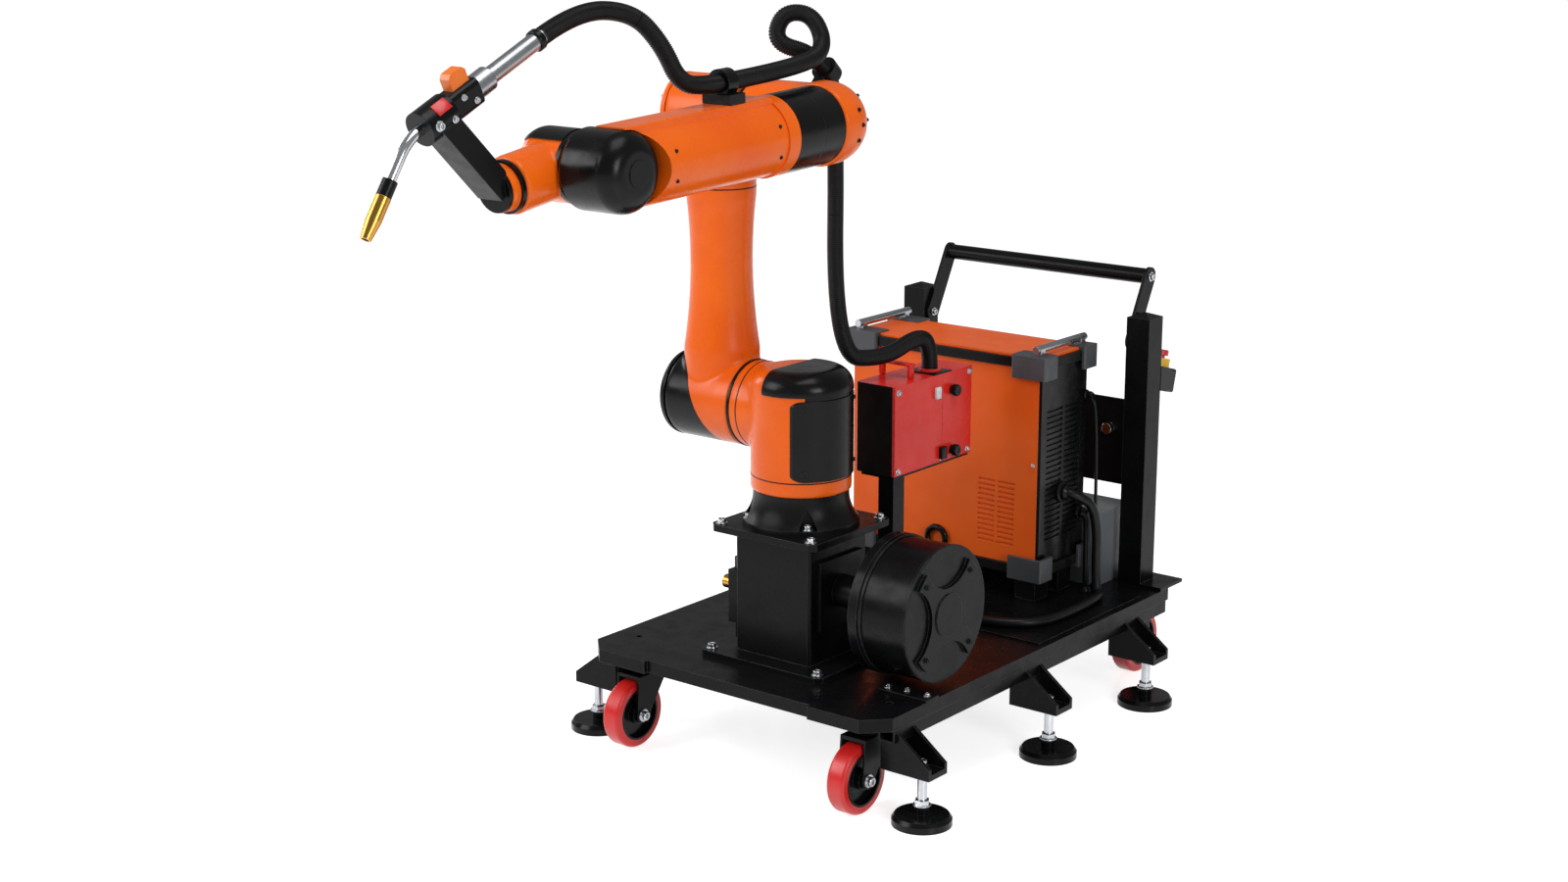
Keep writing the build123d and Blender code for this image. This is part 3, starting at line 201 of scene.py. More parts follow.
def coat(name, under, *zones):
    # A finish, with others over it where their masks meet.
    material = bpy.data.materials.new(name)
    material.use_nodes = True
    tree = material.node_tree
    tree.nodes.clear()
    spot = add(tree, "TexCoord").outputs["Object"]
    noise = add(tree, "TexNoise", {"Vector": spot, "Scale": 1000 / skin["drift"], "Detail": 3}).outputs[0]
    low, high = skin["driftSpan"]
    drift = add(tree, "MapRange", {"Value": noise, "From Min": low, "From Max": high}).outputs[0]
    noise = {"Vector": spot, "Scale": 1000 / skin["smear"], "Detail": 4, "Roughness": 0.6}
    noise = add(tree, "TexNoise", noise).outputs[0]
    low, high = skin["smearSpan"]
    smear = add(tree, "MapRange", {"Value": noise, "From Min": low, "From Max": high}).outputs[0]
    grain = add(tree, "TexNoise", {"Vector": spot, "Scale": 1000 / skin["grain"], "Detail": 2}).outputs[0]
    rounded = add(tree, "Bevel", {"Radius": skin["round"] / 1000}, samples=4).outputs[0]
    flat = add(tree, "NewGeometry").outputs["Normal"]
    same = add(tree, "VectorMath", {0: rounded, 1: flat}, operation="DOT_PRODUCT").outputs["Value"]
    # Edges are painted paler, partly as wear and partly as a painted highlight where a rounded edge would
    # catch the light.
    low, high = skin["edgeSpan"]
    bent = {"Value": same, "From Min": low, "From Max": high, "To Max": skin["edgeWearAndHighlight"]}
    bent = add(tree, "MapRange", bent).outputs[0]
    wearAndHighlight = add(tree, "MapRange", {"Value": smear, "To Min": skin["leastWearAndHighlight"]}).outputs[0]
    wearAndHighlight = add(tree, "Math", {0: bent, 1: wearAndHighlight}, operation="MULTIPLY").outputs[0]
    layers = []
    for finish, masks in ((under, ()), *zones):
        look = usual | finishes[finish]
        # The third shade goes on the edges: partly wear, partly painted highlight.
        base, drifted, wearAndHighlightTone = (colour(code) for code in look["shades"])
        tone = add(tree, "Mix", {0: drift, 6: base, 7: drifted}, data_type="RGBA").outputs[2]
        tone = add(tree, "Mix", {0: wearAndHighlight, 6: tone, 7: wearAndHighlightTone}, data_type="RGBA").outputs[2]
        low, high = look["rough"]
        rough = add(tree, "MapRange", {"Value": smear, "To Min": low, "To Max": high}).outputs[0]
        factor = None
        for mask in masks:
            part = mask(tree, spot)
            if factor:
                part = add(tree, "Math", {0: factor, 1: part}, operation="MULTIPLY").outputs[0]
            factor = part
        layers.append((factor, tone, rough, look["metal"], look["shine"]))
    tone, rough, metal, shine = layers[0][1:]
    for factor, overTone, overRough, overMetal, overShine in layers[1:]:
        tone = add(tree, "Mix", {0: factor, 6: tone, 7: overTone}, data_type="RGBA").outputs[2]
        rough = add(tree, "Mix", {0: factor, 2: rough, 3: overRough}, data_type="FLOAT").outputs[0]
        metal = add(tree, "Mix", {0: factor, 2: metal, 3: overMetal}, data_type="FLOAT").outputs[0]
        shine = add(tree, "Mix", {0: factor, 2: shine, 3: overShine}, data_type="FLOAT").outputs[0]
    bump = {"Height": grain, "Normal": rounded}
    bump.update({"Distance": skin["bump"] / 1000, "Strength": skin["bumpStrength"]})
    surface = {"Base Color": tone, "Roughness": rough, "Metallic": metal, "Specular IOR Level": shine}
    surface["Normal"] = add(tree, "Bump", bump).outputs[0]
    shader = add(tree, "BsdfPrincipled", surface)
    add(tree, "OutputMaterial", {"Surface": shader.outputs[0]})
    return material


plain = {name: coat(name, name) for name in finishes}
print("finishes made")

# Camera, light and floor

view = {
    "place": (3079.8, -4292.7, 1963.2),
    "azimuth": 38.32,
    "tilt": 14.18,
    "lens": 56.06,
    "sensor": 36,
    "far": 100,  # metres
}
# Lamp sizes are in metres and powers in watts.
lamps = {
    "key": {"place": (-2400, -3900, 3000), "size": 2.4, "power": 112},
    "fill": {"place": (4600, -1800, 2300), "size": 1.6, "power": 80},
    "top": {"place": (900, -900, 4600), "size": 2.2, "power": 58},
    "rim": {"place": (-4600, -300, 2300), "size": 1.8, "power": 56},
}
studio = {
    "aim": (0, -250, 750),
    "white": "#ffffff",
    "ambient": 0.3,
    "floor": "#f3f3f3",
    "floorHalf": 40,  # metres
    "floorRough": 0.18,
    "glow": 0.76,
}


def setCamera():
    data = bpy.data.cameras.new("camera")
    data.sensor_width = view["sensor"]
    data.lens = view["lens"]
    data.clip_end = view["far"]
    made = bpy.data.objects.new("camera", data)
    made.location = at(*view["place"])
    made.rotation_euler = (math.radians(90 - view["tilt"]), 0, math.radians(view["azimuth"]))
    bpy.context.scene.collection.objects.link(made)
    bpy.context.scene.camera = made


def setLight():
    world = bpy.data.worlds.new("studio")
    bpy.context.scene.world = world
    world.use_nodes = True
    tree = world.node_tree
    tree.nodes.clear()
    rays = add(tree, "LightPath")
    seen = {0: rays.outputs["Is Camera Ray"], 1: rays.outputs["Is Transmission Ray"]}
    seen = add(tree, "Math", seen, operation="MAXIMUM").outputs[0]
    strength = add(tree, "MapRange", {"Value": seen, "To Min": studio["ambient"], "To Max": 1}).outputs[0]
    sky = add(tree, "Background", {"Color": colour(studio["white"]), "Strength": strength})
    add(tree, "OutputWorld", {"Surface": sky.outputs[0]})
    for name, lamp in lamps.items():
        data = bpy.data.lights.new(name, "AREA")
        data.size = lamp["size"]
        data.energy = lamp["power"]
        made = bpy.data.objects.new(name, data)
        made.location = at(*lamp["place"])
        made.rotation_euler = (at(*studio["aim"]) - made.location).to_track_quat("-Z", "Y").to_euler()
        bpy.context.scene.collection.objects.link(made)


def layFloor():
    bm = bmesh.new()
    bmesh.ops.create_grid(bm, x_segments=1, y_segments=1, size=studio["floorHalf"])
    mesh = bpy.data.meshes.new("floor")
    bm.to_mesh(mesh)
    bm.free()
    material = bpy.data.materials.new("floor")
    material.use_nodes = True
    tree = material.node_tree
    tree.nodes.clear()
    rays = add(tree, "LightPath")
    seen = rays.outputs["Is Camera Ray"]
    for ray in ("Is Glossy Ray", "Is Transmission Ray"):
        seen = add(tree, "Math", {0: seen, 1: rays.outputs[ray]}, operation="MAXIMUM").outputs[0]
    glow = add(tree, "Math", {0: seen, 1: studio["glow"]}, operation="MULTIPLY").outputs[0]
    surface = {"Base Color": colour(studio["floor"]), "Roughness": studio["floorRough"]}
    surface.update({"Emission Color": colour(studio["white"]), "Emission Strength": glow})
    shader = add(tree, "BsdfPrincipled", surface)
    add(tree, "OutputMaterial", {"Surface": shader.outputs[0]})
    mesh.materials.append(material)
    made = bpy.data.objects.new("floor", mesh)
    bpy.context.scene.collection.objects.link(made)


setCamera()
setLight()
layFloor()
bpy.context.scene.view_settings.view_transform = "Standard"
print("camera, light and floor set")

# Forms

poleGap = 1e-6  # metres within which a turned form's points are one


def facing(place, direction):
    # Matrix at a place, with its Z axis along the direction.
    return Matrix.Translation(at(*place)) @ Vector(direction).to_track_quat("Z", "Y").to_matrix().to_4x4()


def join(bm, form, matrix):
    bmesh.ops.transform(form, matrix=matrix, verts=form.verts[:])
    mesh = bpy.data.meshes.new("form")
    form.to_mesh(mesh)
    form.free()
    bm.from_mesh(mesh)
    bpy.data.meshes.remove(mesh)


def spun(bm, place, direction, profile, steps=32, closed=False):
    # Turned form: its profile holds radii and heights in millimetres along the direction.
    form = bmesh.new()
    line = [form.verts.new((radius / 1000, 0, height / 1000)) for radius, height in profile]
    for pair in zip(line, line[1:] + line[:1] if closed else line[1:]):
        form.edges.new(pair)
    bmesh.ops.spin(
        form,
        geom=form.verts[:] + form.edges[:],
        cent=(0, 0, 0),
        axis=(0, 0, 1),
        angle=2 * math.pi,
        steps=steps,
        use_merge=True,
    )
    bmesh.ops.remove_doubles(form, verts=form.verts[:], dist=poleGap)
    join(bm, form, facing(place, direction))


def slab(bm, matrix, size, edge):
    # Block with bevelled edges about the matrix's origin.
    form = bmesh.new()
    scale = Matrix.Diagonal((size[0] / 1000, size[1] / 1000, size[2] / 1000, 1))
    bmesh.ops.create_cube(form, size=1, matrix=scale)
    bmesh.ops.bevel(
        form, geom=form.edges[:], offset=edge / 1000, segments=2, profile=0.5, affect="EDGES", material=-1
    )
    join(bm, form, matrix)


def slabs(bm, group):
    for place in group["places"]:
        slab(bm, Matrix.Translation(at(*place)), group["size"], group["edge"])


def capScrew(bm, place, direction, head):
    # Socket screw on its washer, in shares of the head's radius. A lip covers the six-sided socket's rim.
    r = head / 2
    top = 1.15 * r
    lip = top + 0.1
    rows = [(0, 0), (1.4 * r, 0), (1.4 * r, 0.22 * r), (r, 0.22 * r), (r, top - 0.15 * r), (0.85 * r, top)]
    spun(bm, place, direction, rows + [(0.56 * r, top), (0.54 * r, top - 0.5 * r), (0, top - 0.5 * r)], 24)
    socket = [(0.7 * r, top), (0.7 * r, lip), (0.5 * r, lip), (0.46 * r, top - 0.46 * r)]
    spun(bm, place, direction, socket + [(0, top - 0.46 * r)], 6)


def hexNut(bm, place, direction, width, bore):
    # Nut on its washer, open for the stud.
    r = width / 2 / math.cos(math.pi / 6)
    hole = bore / 2
    washer = 2.5
    spun(bm, place, direction, [(hole, 0), (1.15 * r, 0), (1.15 * r, washer), (hole, washer)], 32, True)
    rows = [(hole, washer), (r, washer), (r, 0.75 * r), (0.9 * r, 0.82 * r), (hole, 0.82 * r)]
    spun(bm, place, direction, rows, 6, True)


def knob(bm, place, direction, diameter, height):
    # Knob on a narrower neck, with a dished top.
    r = diameter / 2
    h = height
    rows = [(0, 0), (0.75 * r, 0), (0.75 * r, 0.28 * h), (r, 0.36 * h), (r, 0.85 * h), (0.85 * r, h)]
    spun(bm, place, direction, rows + [(0.45 * r, h), (0.4 * r, 0.92 * h), (0, 0.92 * h)], 32)


def hoop(bm, place, direction, inner, outer, width):
    # Band around a round form, with its middle at the place.
    half = width / 2
    r0 = inner / 2
    r1 = outer / 2
    trim = min(half, r1 - r0) * 0.4
    rows = [(r0, -half), (r1 - trim, -half), (r1, trim - half)]
    rows += [(r1, half - trim), (r1 - trim, half), (r0, half)]
    spun(bm, place, direction, rows, 96, True)


def piece(name, bm, material, body, smooth=35):
    mesh = bpy.data.meshes.new(name)
    bmesh.ops.recalc_face_normals(bm, faces=bm.faces[:])
    bm.to_mesh(mesh)
    bm.free()
    mesh.materials.append(material)
    mesh.shade_smooth()
    mesh.set_sharp_from_angle(angle=math.radians(smooth))
    made = bpy.data.objects.new(name, mesh)
    bpy.context.scene.collection.objects.link(made)
    if body:
        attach(made, body)
    return made


# Hoses and cables

hoseSize = {"diameter": 36, "pitch": 4.4, "steps": 4, "rib": 1.4, "sides": 28}
hoseRoutes = {
    "wrist": [
        (-67, -1038.5, 1581.1),
        (-67, -934.8, 1628.6),
        (-30, -820.5, 1622.1),
        (5, -775.5, 1560.1),
        (30, -752.2, 1481.4),
        (60, -700.2, 1479.6),
        (60, -660.2, 1481.4),
    ],
    "elbow": [
        (60, -660.2, 1481.4),
        (60, -405.5, 1493.0),
        (30, -296.7, 1522.0),
        (-10, -287.6, 1587.5),
        (-58, -327.8, 1590.6),
        (-62, -352.1, 1529.5),
        (0, -297.0, 1506.8),
        (0, -252.7, 1466.3),
    ],
    "drop": [
        (0, -252.7, 1466.3),
        (0, -217.3, 1433.9),
        (5, -232, 862),
        (60, -125, 846),
        (80, -32, 884),
        (88, 8, 866),
        (88, 8, 800),
    ],
}
# Each stretch of hose runs over its share of the route, between two links that are listed but not read.
hoseStretches = {
    "torchHoseTool": {"route": "wrist", "span": (0, 0.5), "links": ("tool", "wrist")},
    "torchHoseWrist": {"route": "wrist", "span": (0.5, 1), "links": ("wrist", "forearm")},
    "elbowHose": {"route": "elbow", "span": (0, 1), "links": ("forearm", "elbow")},
    "dropHoseUpper": {"route": "drop", "span": (0, 0.34), "links": ("elbow", "upper_arm")},
    "dropHoseMiddle": {"route": "drop", "span": (0.34, 0.66), "links": ("upper_arm", "turret")},
    "dropHoseLower": {"route": "drop", "span": (0.66, 1), "links": ("turret", "cart")},
}
hoseNodes = {"wrist": "hose_torch", "elbow": "hose_elbow", "drop": "hose_drop"}
cableRoutes = {
    "weldCable": {
        "diameter": 22,
        "points": [
            (232, 332, 482),
            (266, 332, 482),
            (298, 389, 442),
            (298, 389, 243.3),
            (332, 360, 243.3),
            (340, 190, 243.3),
            (322, 95, 243.3),
            (250, 48, 243.3),
            (150, 30, 243.3),
            (98, -30, 251.3),
            (98, -124.7, 251.3),
        ],
    },
    "waterLine": {
        "diameter": 14,
        "points": [(232, 408, 417), (254, 408, 417), (268, 394, 377), (268, 394, 232.3)],
    },
    "mainsLead": {
        "diameter": 8,
        "points": [(232, 424, 694), (246, 424, 694), (270, 427, 654), (270, 427, 232.3)],
    },
}


def routeCurve(name, points):
    # A smooth line that has the route's corners as its control points.
    data = bpy.data.curves.new(name, "CURVE")
    data.dimensions = "3D"
    data.resolution_u = 32
    spline = data.splines.new("NURBS")
    spline.points.add(len(points) - 1)
    for control, point in zip(spline.points, points):
        control.co = (*at(*point), 1)
    spline.order_u = 3
    spline.use_endpoint_u = True
    made = bpy.data.objects.new(name, data)
    bpy.context.scene.collection.objects.link(made)
    return made


def lengthOf(line):
    return sum((b - a).length for a, b in zip(line, line[1:]))


def evenly(line, step):
    # The same line with its points an even step apart.
    count = max(1, round(lengthOf(line) / step))
    step = lengthOf(line) / count
    spots = [line[0]]
    walked = 0
    for a, b in zip(line, line[1:]):
        while walked + (b - a).length >= step and len(spots) < count:
            a = a + (b - a).normalized() * (step - walked)
            spots.append(a)
            walked = 0
        walked += (b - a).length
    return spots + [line[-1]]


def readRoute(points):
    # The points of the route's smooth line.
    holder = routeCurve("route", points)
    bpy.context.view_layer.update()
    mesh = bpy.data.meshes.new_from_object(holder.evaluated_get(bpy.context.evaluated_depsgraph_get()))
    line = [vertex.co.copy() for vertex in mesh.vertices]
    data = holder.data
    bpy.data.objects.remove(holder)
    bpy.data.curves.remove(data)
    bpy.data.meshes.remove(mesh)
    return line


def ribbedTube(spots):
    # Ring after ring is extruded along the line, wider on the ribs.
    bm = bmesh.new()
    wide = hoseSize["diameter"] / 2000
    narrow = wide - hoseSize["rib"] / 1000
    ahead = (spots[1] - spots[0]).normalized()
    side = ahead.orthogonal().normalized()
    ring = bmesh.ops.create_circle(bm, cap_ends=True, segments=hoseSize["sides"], radius=1)["verts"]
    before = Matrix.Identity(4)
    edges = bm.edges[:]
    for index, spot in enumerate(spots):
        beyond = spots[min(index + 1, len(spots) - 1)] - spots[max(index - 1, 0)]
        side = ahead.rotation_difference(beyond.normalized()) @ side
        ahead = beyond.normalized()
        side = (side - ahead * side.dot(ahead)).normalized()
        radius = wide if index % hoseSize["steps"] in (1, 2) else narrow
        turn = Matrix((side, ahead.cross(side), ahead)).transposed().to_4x4()
        matrix = Matrix.Translation(spot) @ turn @ Matrix.Diagonal((radius, radius, radius, 1))
        if index:
            made = bmesh.ops.extrude_edge_only(bm, edges=edges)["geom"]
            ring = [item for item in made if isinstance(item, bmesh.types.BMVert)]
            kept = set(ring)
            edges = [item for item in made if isinstance(item, bmesh.types.BMEdge)]
            edges = [edge for edge in edges if kept.issuperset(edge.verts)]
        bmesh.ops.transform(bm, matrix=matrix @ before.inverted(), verts=ring)
        before = matrix
    bmesh.ops.contextual_create(bm, geom=edges)
    return bm


def layHoses():
    step = hoseSize["pitch"] / hoseSize["steps"] / 1000
    lines = {name: evenly(readRoute(points), step) for name, points in hoseRoutes.items()}
    for name, stretch in hoseStretches.items():
        line = lines[stretch["route"]]
        first, last = (round(share * (len(line) - 1)) for share in stretch["span"])
        spots = line[first : last + 1]
        hose = piece(name, ribbedTube(spots), plain["nylonBraid"], None, 80)
        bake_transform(hose)
        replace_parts(hose, hoseNodes[stretch["route"]])


def layCables():
    for name, cable in cableRoutes.items():
        line = readRoute(cable["points"])
        made = routeCurve(name, cable["points"])
        made.data.bevel_depth = cable["diameter"] / 2000
        made.data.bevel_resolution = 6
        made.data.use_fill_caps = True
        made.data.materials.append(plain["cableRubber"])
        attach(made, "cart")
        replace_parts(made, "welder_cables")


layHoses()
layCables()
print("hoses and cables laid")

# Finishes of the solids

torchBack = heading(torch["rise"])
torchUp = heading(torch["rise"] + 90)
neckDown = heading(torch["rise"] + torch["neckBend"]) * -1


def neckEnd():
    # Where the bent neck meets its insulator.
    bend = math.radians(torch["neckBend"])
    spot = torchBack * -torch["front"]
    spot += (torchBack * -math.sin(bend) - torchUp * (1 - math.cos(bend))) * torch["neckRadius"]
    spot += neckDown * torch["neckRun"]
    return tuple(Vector(torch["clamp"]) + spot)


stop = {"place": (314, 575, 690), "tilt": 15, "box": 56, "lid": 0.2}
stopUp = Vector((0, math.sin(math.radians(stop["tilt"])), math.cos(math.radians(stop["tilt"]))))
stopTop = tuple(Vector(stop["place"]) + stopUp * (stop["box"] + stop["lid"]))
flangeSpot = onForearm(arm["wristX"], arm["reach"], 0)
footSpots = {"front": -505, "mid": -30, "rear": 384}
wheelSpots = {"front": -545, "rear": 565}
footX = 442
casterX = 305
axleZ = 78
solidFinishes = {
    "deck": "blackPowderCoat",
    "deck_frame": "blackPowderCoat",
    "foot_brackets": "blackPowderCoat",
    "caster_mounts": "blackSatinPaint",
    "rear_caster_fork_left": "blackSatinPaint",
    "rear_caster_fork_right": "blackSatinPaint",
    "pedestal": "blackPowderCoat",
    "arm_base": "blackSatinPaint",
    "turret_covers": "blackAbs",
    "elbow_drive": "blackAbs",
    "forearm_tube": "orangeTwoPackPaint",
    "wrist_housing": "blackAbs",
    "wrist_cap": "blackAbs",
    "torch_bracket": "blackSatinPaint",
    "torch_clamp": "blackAbs",
    "torch_nozzle": "brass",
    "forearm_hose_clamp": "blackAbs",
    "elbow_hose_clamp": "blackAbs",
    "wire_drum": "blackPowderCoat",
    "drum_lid": "blackPowderCoat",
    "drum_mount": "blackSatinPaint",
    "feeder_doors": "redEnamel",
    "feeder_post": "blackPowderCoat",
    "welder_case": "orangePowderCoat",
    "welder_end_panel": "blackAbs",
    "welder_rims": "blackSatinPaint",
    "welder_stand": "blackPowderCoat",
    "controller_box": "greyPaint",
    "handle_posts": "blackPowderCoat",
    "handle_bar": "blackPowderCoat",
    "estop_button": "redNylon",
}
# Where one finish stops and the next begins.
seams = {
    "turretCrown": pastPlane((0, 0, 796), up),
    "turretCover": pastPlane((72, 0, 0), toRight),
    "armCap": pastPlane((-268, 0, 860), (-0.9, 0, -0.43)),
    "armLowEnd": pastPlane((0, 0, 1000), (0, 0, -1)),
    "driveFront": pastPlane(onForearm(arm["forearmX"], 182, 0), heading(arm["dip"]) * -1),
    "elbowFlange": pastPlane((-118.2, 0, 0), toLeft),
    "flangeRim": awayFrom(flangeSpot, heading(arm["bow"]), 45.5),
    "torchTube": pastPlane(onTorch(0, 104, 0), torchBack),
    "torchLever": pastPlane(onTorch(0, 0, 26.2), torchUp),
    "neckEnd": pastPlane(neckEnd(), neckDown),
    "valveFront": pastPlane((-134.2, 0, 0), toLeft),
    "feederSide": pastPlane((0, -171.8, 0), toFront),
    "bumperGrips": pastPlane((0, 0, 812), up),
    "panelFront": pastPlane((0, 539.6, 0), toFront),
    "panelRight": pastPlane((210, 0, 0), toRight),
    "stopLid": pastPlane(stopTop, stopUp),
    "footPad": pastPlane((0, 0, 40.2), up),
}
treadInner = 57.5
solidZones = {
    "turret": ("orangeTwoPackPaint", ("blackAbs", [seams["turretCrown"], seams["turretCover"]])),
    "upper_arm": ("orangeTwoPackPaint", ("blackAbs", [seams["armCap"], seams["armLowEnd"]])),
    "upper_arm_caps": ("orangeTwoPackPaint", ("blackAbs", [seams["armLowEnd"]])),
    "forearm_drive": ("blackAbs", ("orangeTwoPackPaint", [seams["driveFront"]])),
    "elbow_housing": ("orangeTwoPackPaint", ("brushedSteel", [seams["elbowFlange"]])),
    "wrist_body": ("orangeTwoPackPaint",),
    "tool_flange": ("orangeTwoPackPaint", ("blackAbs", [seams["flangeRim"]])),
    "torch_body": (
        "blackAbs",
        ("brushedSteel", [seams["torchTube"]]),
        ("orangeNylon", [seams["torchLever"]]),
    ),
    "torch_neck": ("chrome", ("blackAbs", [seams["neckEnd"]])),
    "valve_group": ("blackSatinPaint", ("brass", [seams["valveFront"]])),
    "feeder_case": ("redEnamel", ("blackSatinPaint", [seams["feederSide"]])),
    "welder_bumpers": ("greyRubber", ("brushedSteel", [seams["bumperGrips"]])),
    "rear_panel": ("blackSatinPaint", ("zincSteel", [seams["panelFront"], seams["panelRight"]])),
    "estop_box": ("blackAbs", ("yellowNylon", [seams["stopLid"]])),
}
for side, sign in (("left", -1), ("right", 1)):
    for place in footSpots:
        solidZones[f"foot_{place}_{side}"] = ("blackAbs", ("zincSteel", [seams["footPad"]]))
    for place, y in wheelSpots.items():
        tread = [awayFrom((sign * casterX, y, axleZ), toRight, treadInner)]
        solidZones[f"wheel_{place}_{side}"] = ("blackAbs", ("redPolyurethane", tread))
zoned = {name: coat(name + "Finish", *zones) for name, zones in solidZones.items()}


def dress(name, material):
    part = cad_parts[name]
    if not part.material_slots:
        part.data.materials.append(material)
    for slot in part.material_slots:
        slot.link = "OBJECT"
        slot.material = material


for name, finish in solidFinishes.items():
    dress(name, plain[finish])
for name, material in zoned.items():
    dress(name, material)
print("solids dressed")

# Castings, whose joints between round forms run together as the mould left them

castings = {
    "turretCasting": {"node": "turret", "body": "turret"},
    "upperArmCasting": {"node": "upper_arm", "body": "upper_arm"},
    "elbowCasting": {"node": "elbow_housing", "body": "elbow"},
    "wristCasting": {"node": "wrist_body", "body": "wrist"},
}
mould = {"weld": 0.01, "grid": 3.5, "passes": 16, "factor": 0.5}


def pourCastings():
    for name, casting in castings.items():
        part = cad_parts[casting["node"]]
        bm = bmesh.new()
        bm.from_mesh(part.data)
        bmesh.ops.transform(bm, matrix=part.matrix_world, verts=bm.verts[:])
        bmesh.ops.remove_doubles(bm, verts=bm.verts[:], dist=mould["weld"] / 1000)
        mesh = bpy.data.meshes.new("pattern")
        bm.to_mesh(mesh)
        holder = bpy.data.objects.new("pattern", mesh)
        bpy.context.scene.collection.objects.link(holder)
        grid = holder.modifiers.new("grid", "REMESH")
        grid.mode = "VOXEL"
        grid.voxel_size = mould["grid"] / 1000
        soft = holder.modifiers.new("soft", "SMOOTH")
        soft.factor = mould["factor"]
        soft.iterations = mould["passes"]
        bpy.context.view_layer.update()
        cast = bpy.data.meshes.new_from_object(holder.evaluated_get(bpy.context.evaluated_depsgraph_get()))
        bm.clear()
        bm.from_mesh(cast)
        bpy.data.objects.remove(holder)
        bpy.data.meshes.remove(mesh)
        bpy.data.meshes.remove(cast)
        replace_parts(piece(name, bm, zoned[casting["node"]], casting["body"], 60), casting["node"])


pourCastings()
print("castings poured")

# Screws, nuts and bolts

quarters = (45, 135, 225, 315)
pedestalScrews = {
    "pedestalScrews": {"head": 18, "z": 522, "out": 120, "along": 120},
    "pedestalFootScrews": {"head": 18, "z": 240, "out": 143, "along": 128},
}
baseBolts = {"radius": 111, "z": 532, "head": 18}
coverScrews = {"radius": 111.6, "aside": 84, "levels": (652, 788), "head": 9}
capScrews = {"x": -322, "radius": 66, "turns": range(30, 390, 60), "head": 9}
domeScrews = {
    "radius": 85.6,
    "ways": [(0.93, 0.1, 0.36), (0.98, 0.2, 0), (0.93, 0.1, -0.36), (0.72, 0.69, 0.06), (0.5, 0.6, 0.62)],
    "head": 7,
}
tubeScrews = {
    "radius": 77,
    "sunk": 0.3,
    "spots": [(545, 28), (545, -28), (235, 30), (235, -30)],  # ahead of the elbow, above the axis
    "lean": 70,
    "head": 6,
}


def drivePedestalScrews():
    for name, group in pedestalScrews.items():
        bm = bmesh.new()
        for x in (-group["out"], group["out"]):
            for y in (-group["along"], group["along"]):
                capScrew(bm, (x, arm["y"] + y, group["z"]), up, group["head"])
        piece(name, bm, plain["zincSteel"], "cart")
    bm = bmesh.new()
    for turn in quarters:
        x = baseBolts["radius"] * math.cos(math.radians(turn))
        y = baseBolts["radius"] * math.sin(math.radians(turn))
        capScrew(bm, (x, arm["y"] + y, baseBolts["z"]), up, baseBolts["head"])
    piece("armBaseBolts", bm, plain["zincSteel"], "cart")


def driveArmScrews():
    bm = bmesh.new()
    x = math.sqrt(coverScrews["radius"] ** 2 - coverScrews["aside"] ** 2)
    for y in (-coverScrews["aside"], coverScrews["aside"]):
        for z in coverScrews["levels"]:
            capScrew(bm, (x, arm["y"] + y, z), (x, y, 0), coverScrews["head"])
    piece("turretCoverScrews", bm, plain["blackSatinPaint"], "turret")
    bm = bmesh.new()
    for z in (arm["shoulderZ"], arm["elbowZ"]):
        for turn in capScrews["turns"]:
            spot = heading(turn) * capScrews["radius"]
            capScrew(bm, (capScrews["x"], arm["y"] + spot.y, z + spot.z), toLeft, capScrews["head"])
    piece("armCapScrews", bm, plain["blackSatinPaint"], "upper_arm")
    bm = bmesh.new()
    centre = Vector((arm["forearmX"], arm["y"], arm["elbowZ"]))
    for way in domeScrews["ways"]:
        out = Vector(way).normalized()
        capScrew(bm, tuple(centre + out * domeScrews["radius"]), out, domeScrews["head"])
    piece("elbowScrews", bm, plain["blackSatinPaint"], "elbow")
    bm = bmesh.new()
    for along, rise in tubeScrews["spots"]:
        out = math.sqrt(tubeScrews["radius"] ** 2 - rise**2) - tubeScrews["sunk"]
        spot = onForearm(arm["forearmX"] + out, along, rise)
        capScrew(bm, spot, (1, 0, rise / tubeScrews["lean"]), tubeScrews["head"])
    piece("forearmScrews", bm, plain["blackSatinPaint"], "forearm")


bracketWashers = {"levels": (121.5, 106.5), "inner": 20.8, "outer": 30, "thick": 3}
axleNuts = {"out": 32, "head": 20}
padNut = {"z": 40, "width": 28, "bore": 20.2}
studTopZ = 128
studTop = [(0, 0), (10, 0), (10, 9), (9, 10), (5.6, 10), (5.4, 4), (0, 4)]
studSocket = [(6.5, 10), (6.5, 10.1), (4.8, 10.1), (4.6, 4.2), (0, 4.2)]


def fitAxleNuts(bm, side, y):
    for out in (-axleNuts["out"], axleNuts["out"]):
        capScrew(bm, (side * casterX + out, y, axleZ), (out, 0, 0), axleNuts["head"])


def fitNuts():
    bm = bmesh.new()
    ring = (bracketWashers["inner"], bracketWashers["outer"], bracketWashers["thick"])
    for side in (-1, 1):
        for y in footSpots.values():
            for z in bracketWashers["levels"]:
                hoop(bm, (side * footX, y, z), up, *ring)
        fitAxleNuts(bm, side, wheelSpots["front"])
    piece("bracketNuts", bm, plain["zincSteel"], "cart")
    for name, side in (("left", -1), ("right", 1)):
        bm = bmesh.new()
        fitAxleNuts(bm, side, wheelSpots["rear"])
        piece("rearAxleNuts" + name, bm, plain["zincSteel"], "rear_fork_" + name)
        for place, y in footSpots.items():
            bm = bmesh.new()
            hexNut(bm, (side * footX, y, padNut["z"]), up, padNut["width"], padNut["bore"])
            spun(bm, (side * footX, y, studTopZ), up, studTop)
            spun(bm, (side * footX, y, studTopZ), up, studSocket, 6)
            piece("studNuts" + place + name, bm, plain["zincSteel"], f"foot_{place}_{name}")


drivePedestalScrews()
driveArmScrews()
fitNuts()
print("screws and nuts fitted")

# Seals and bands of the arm

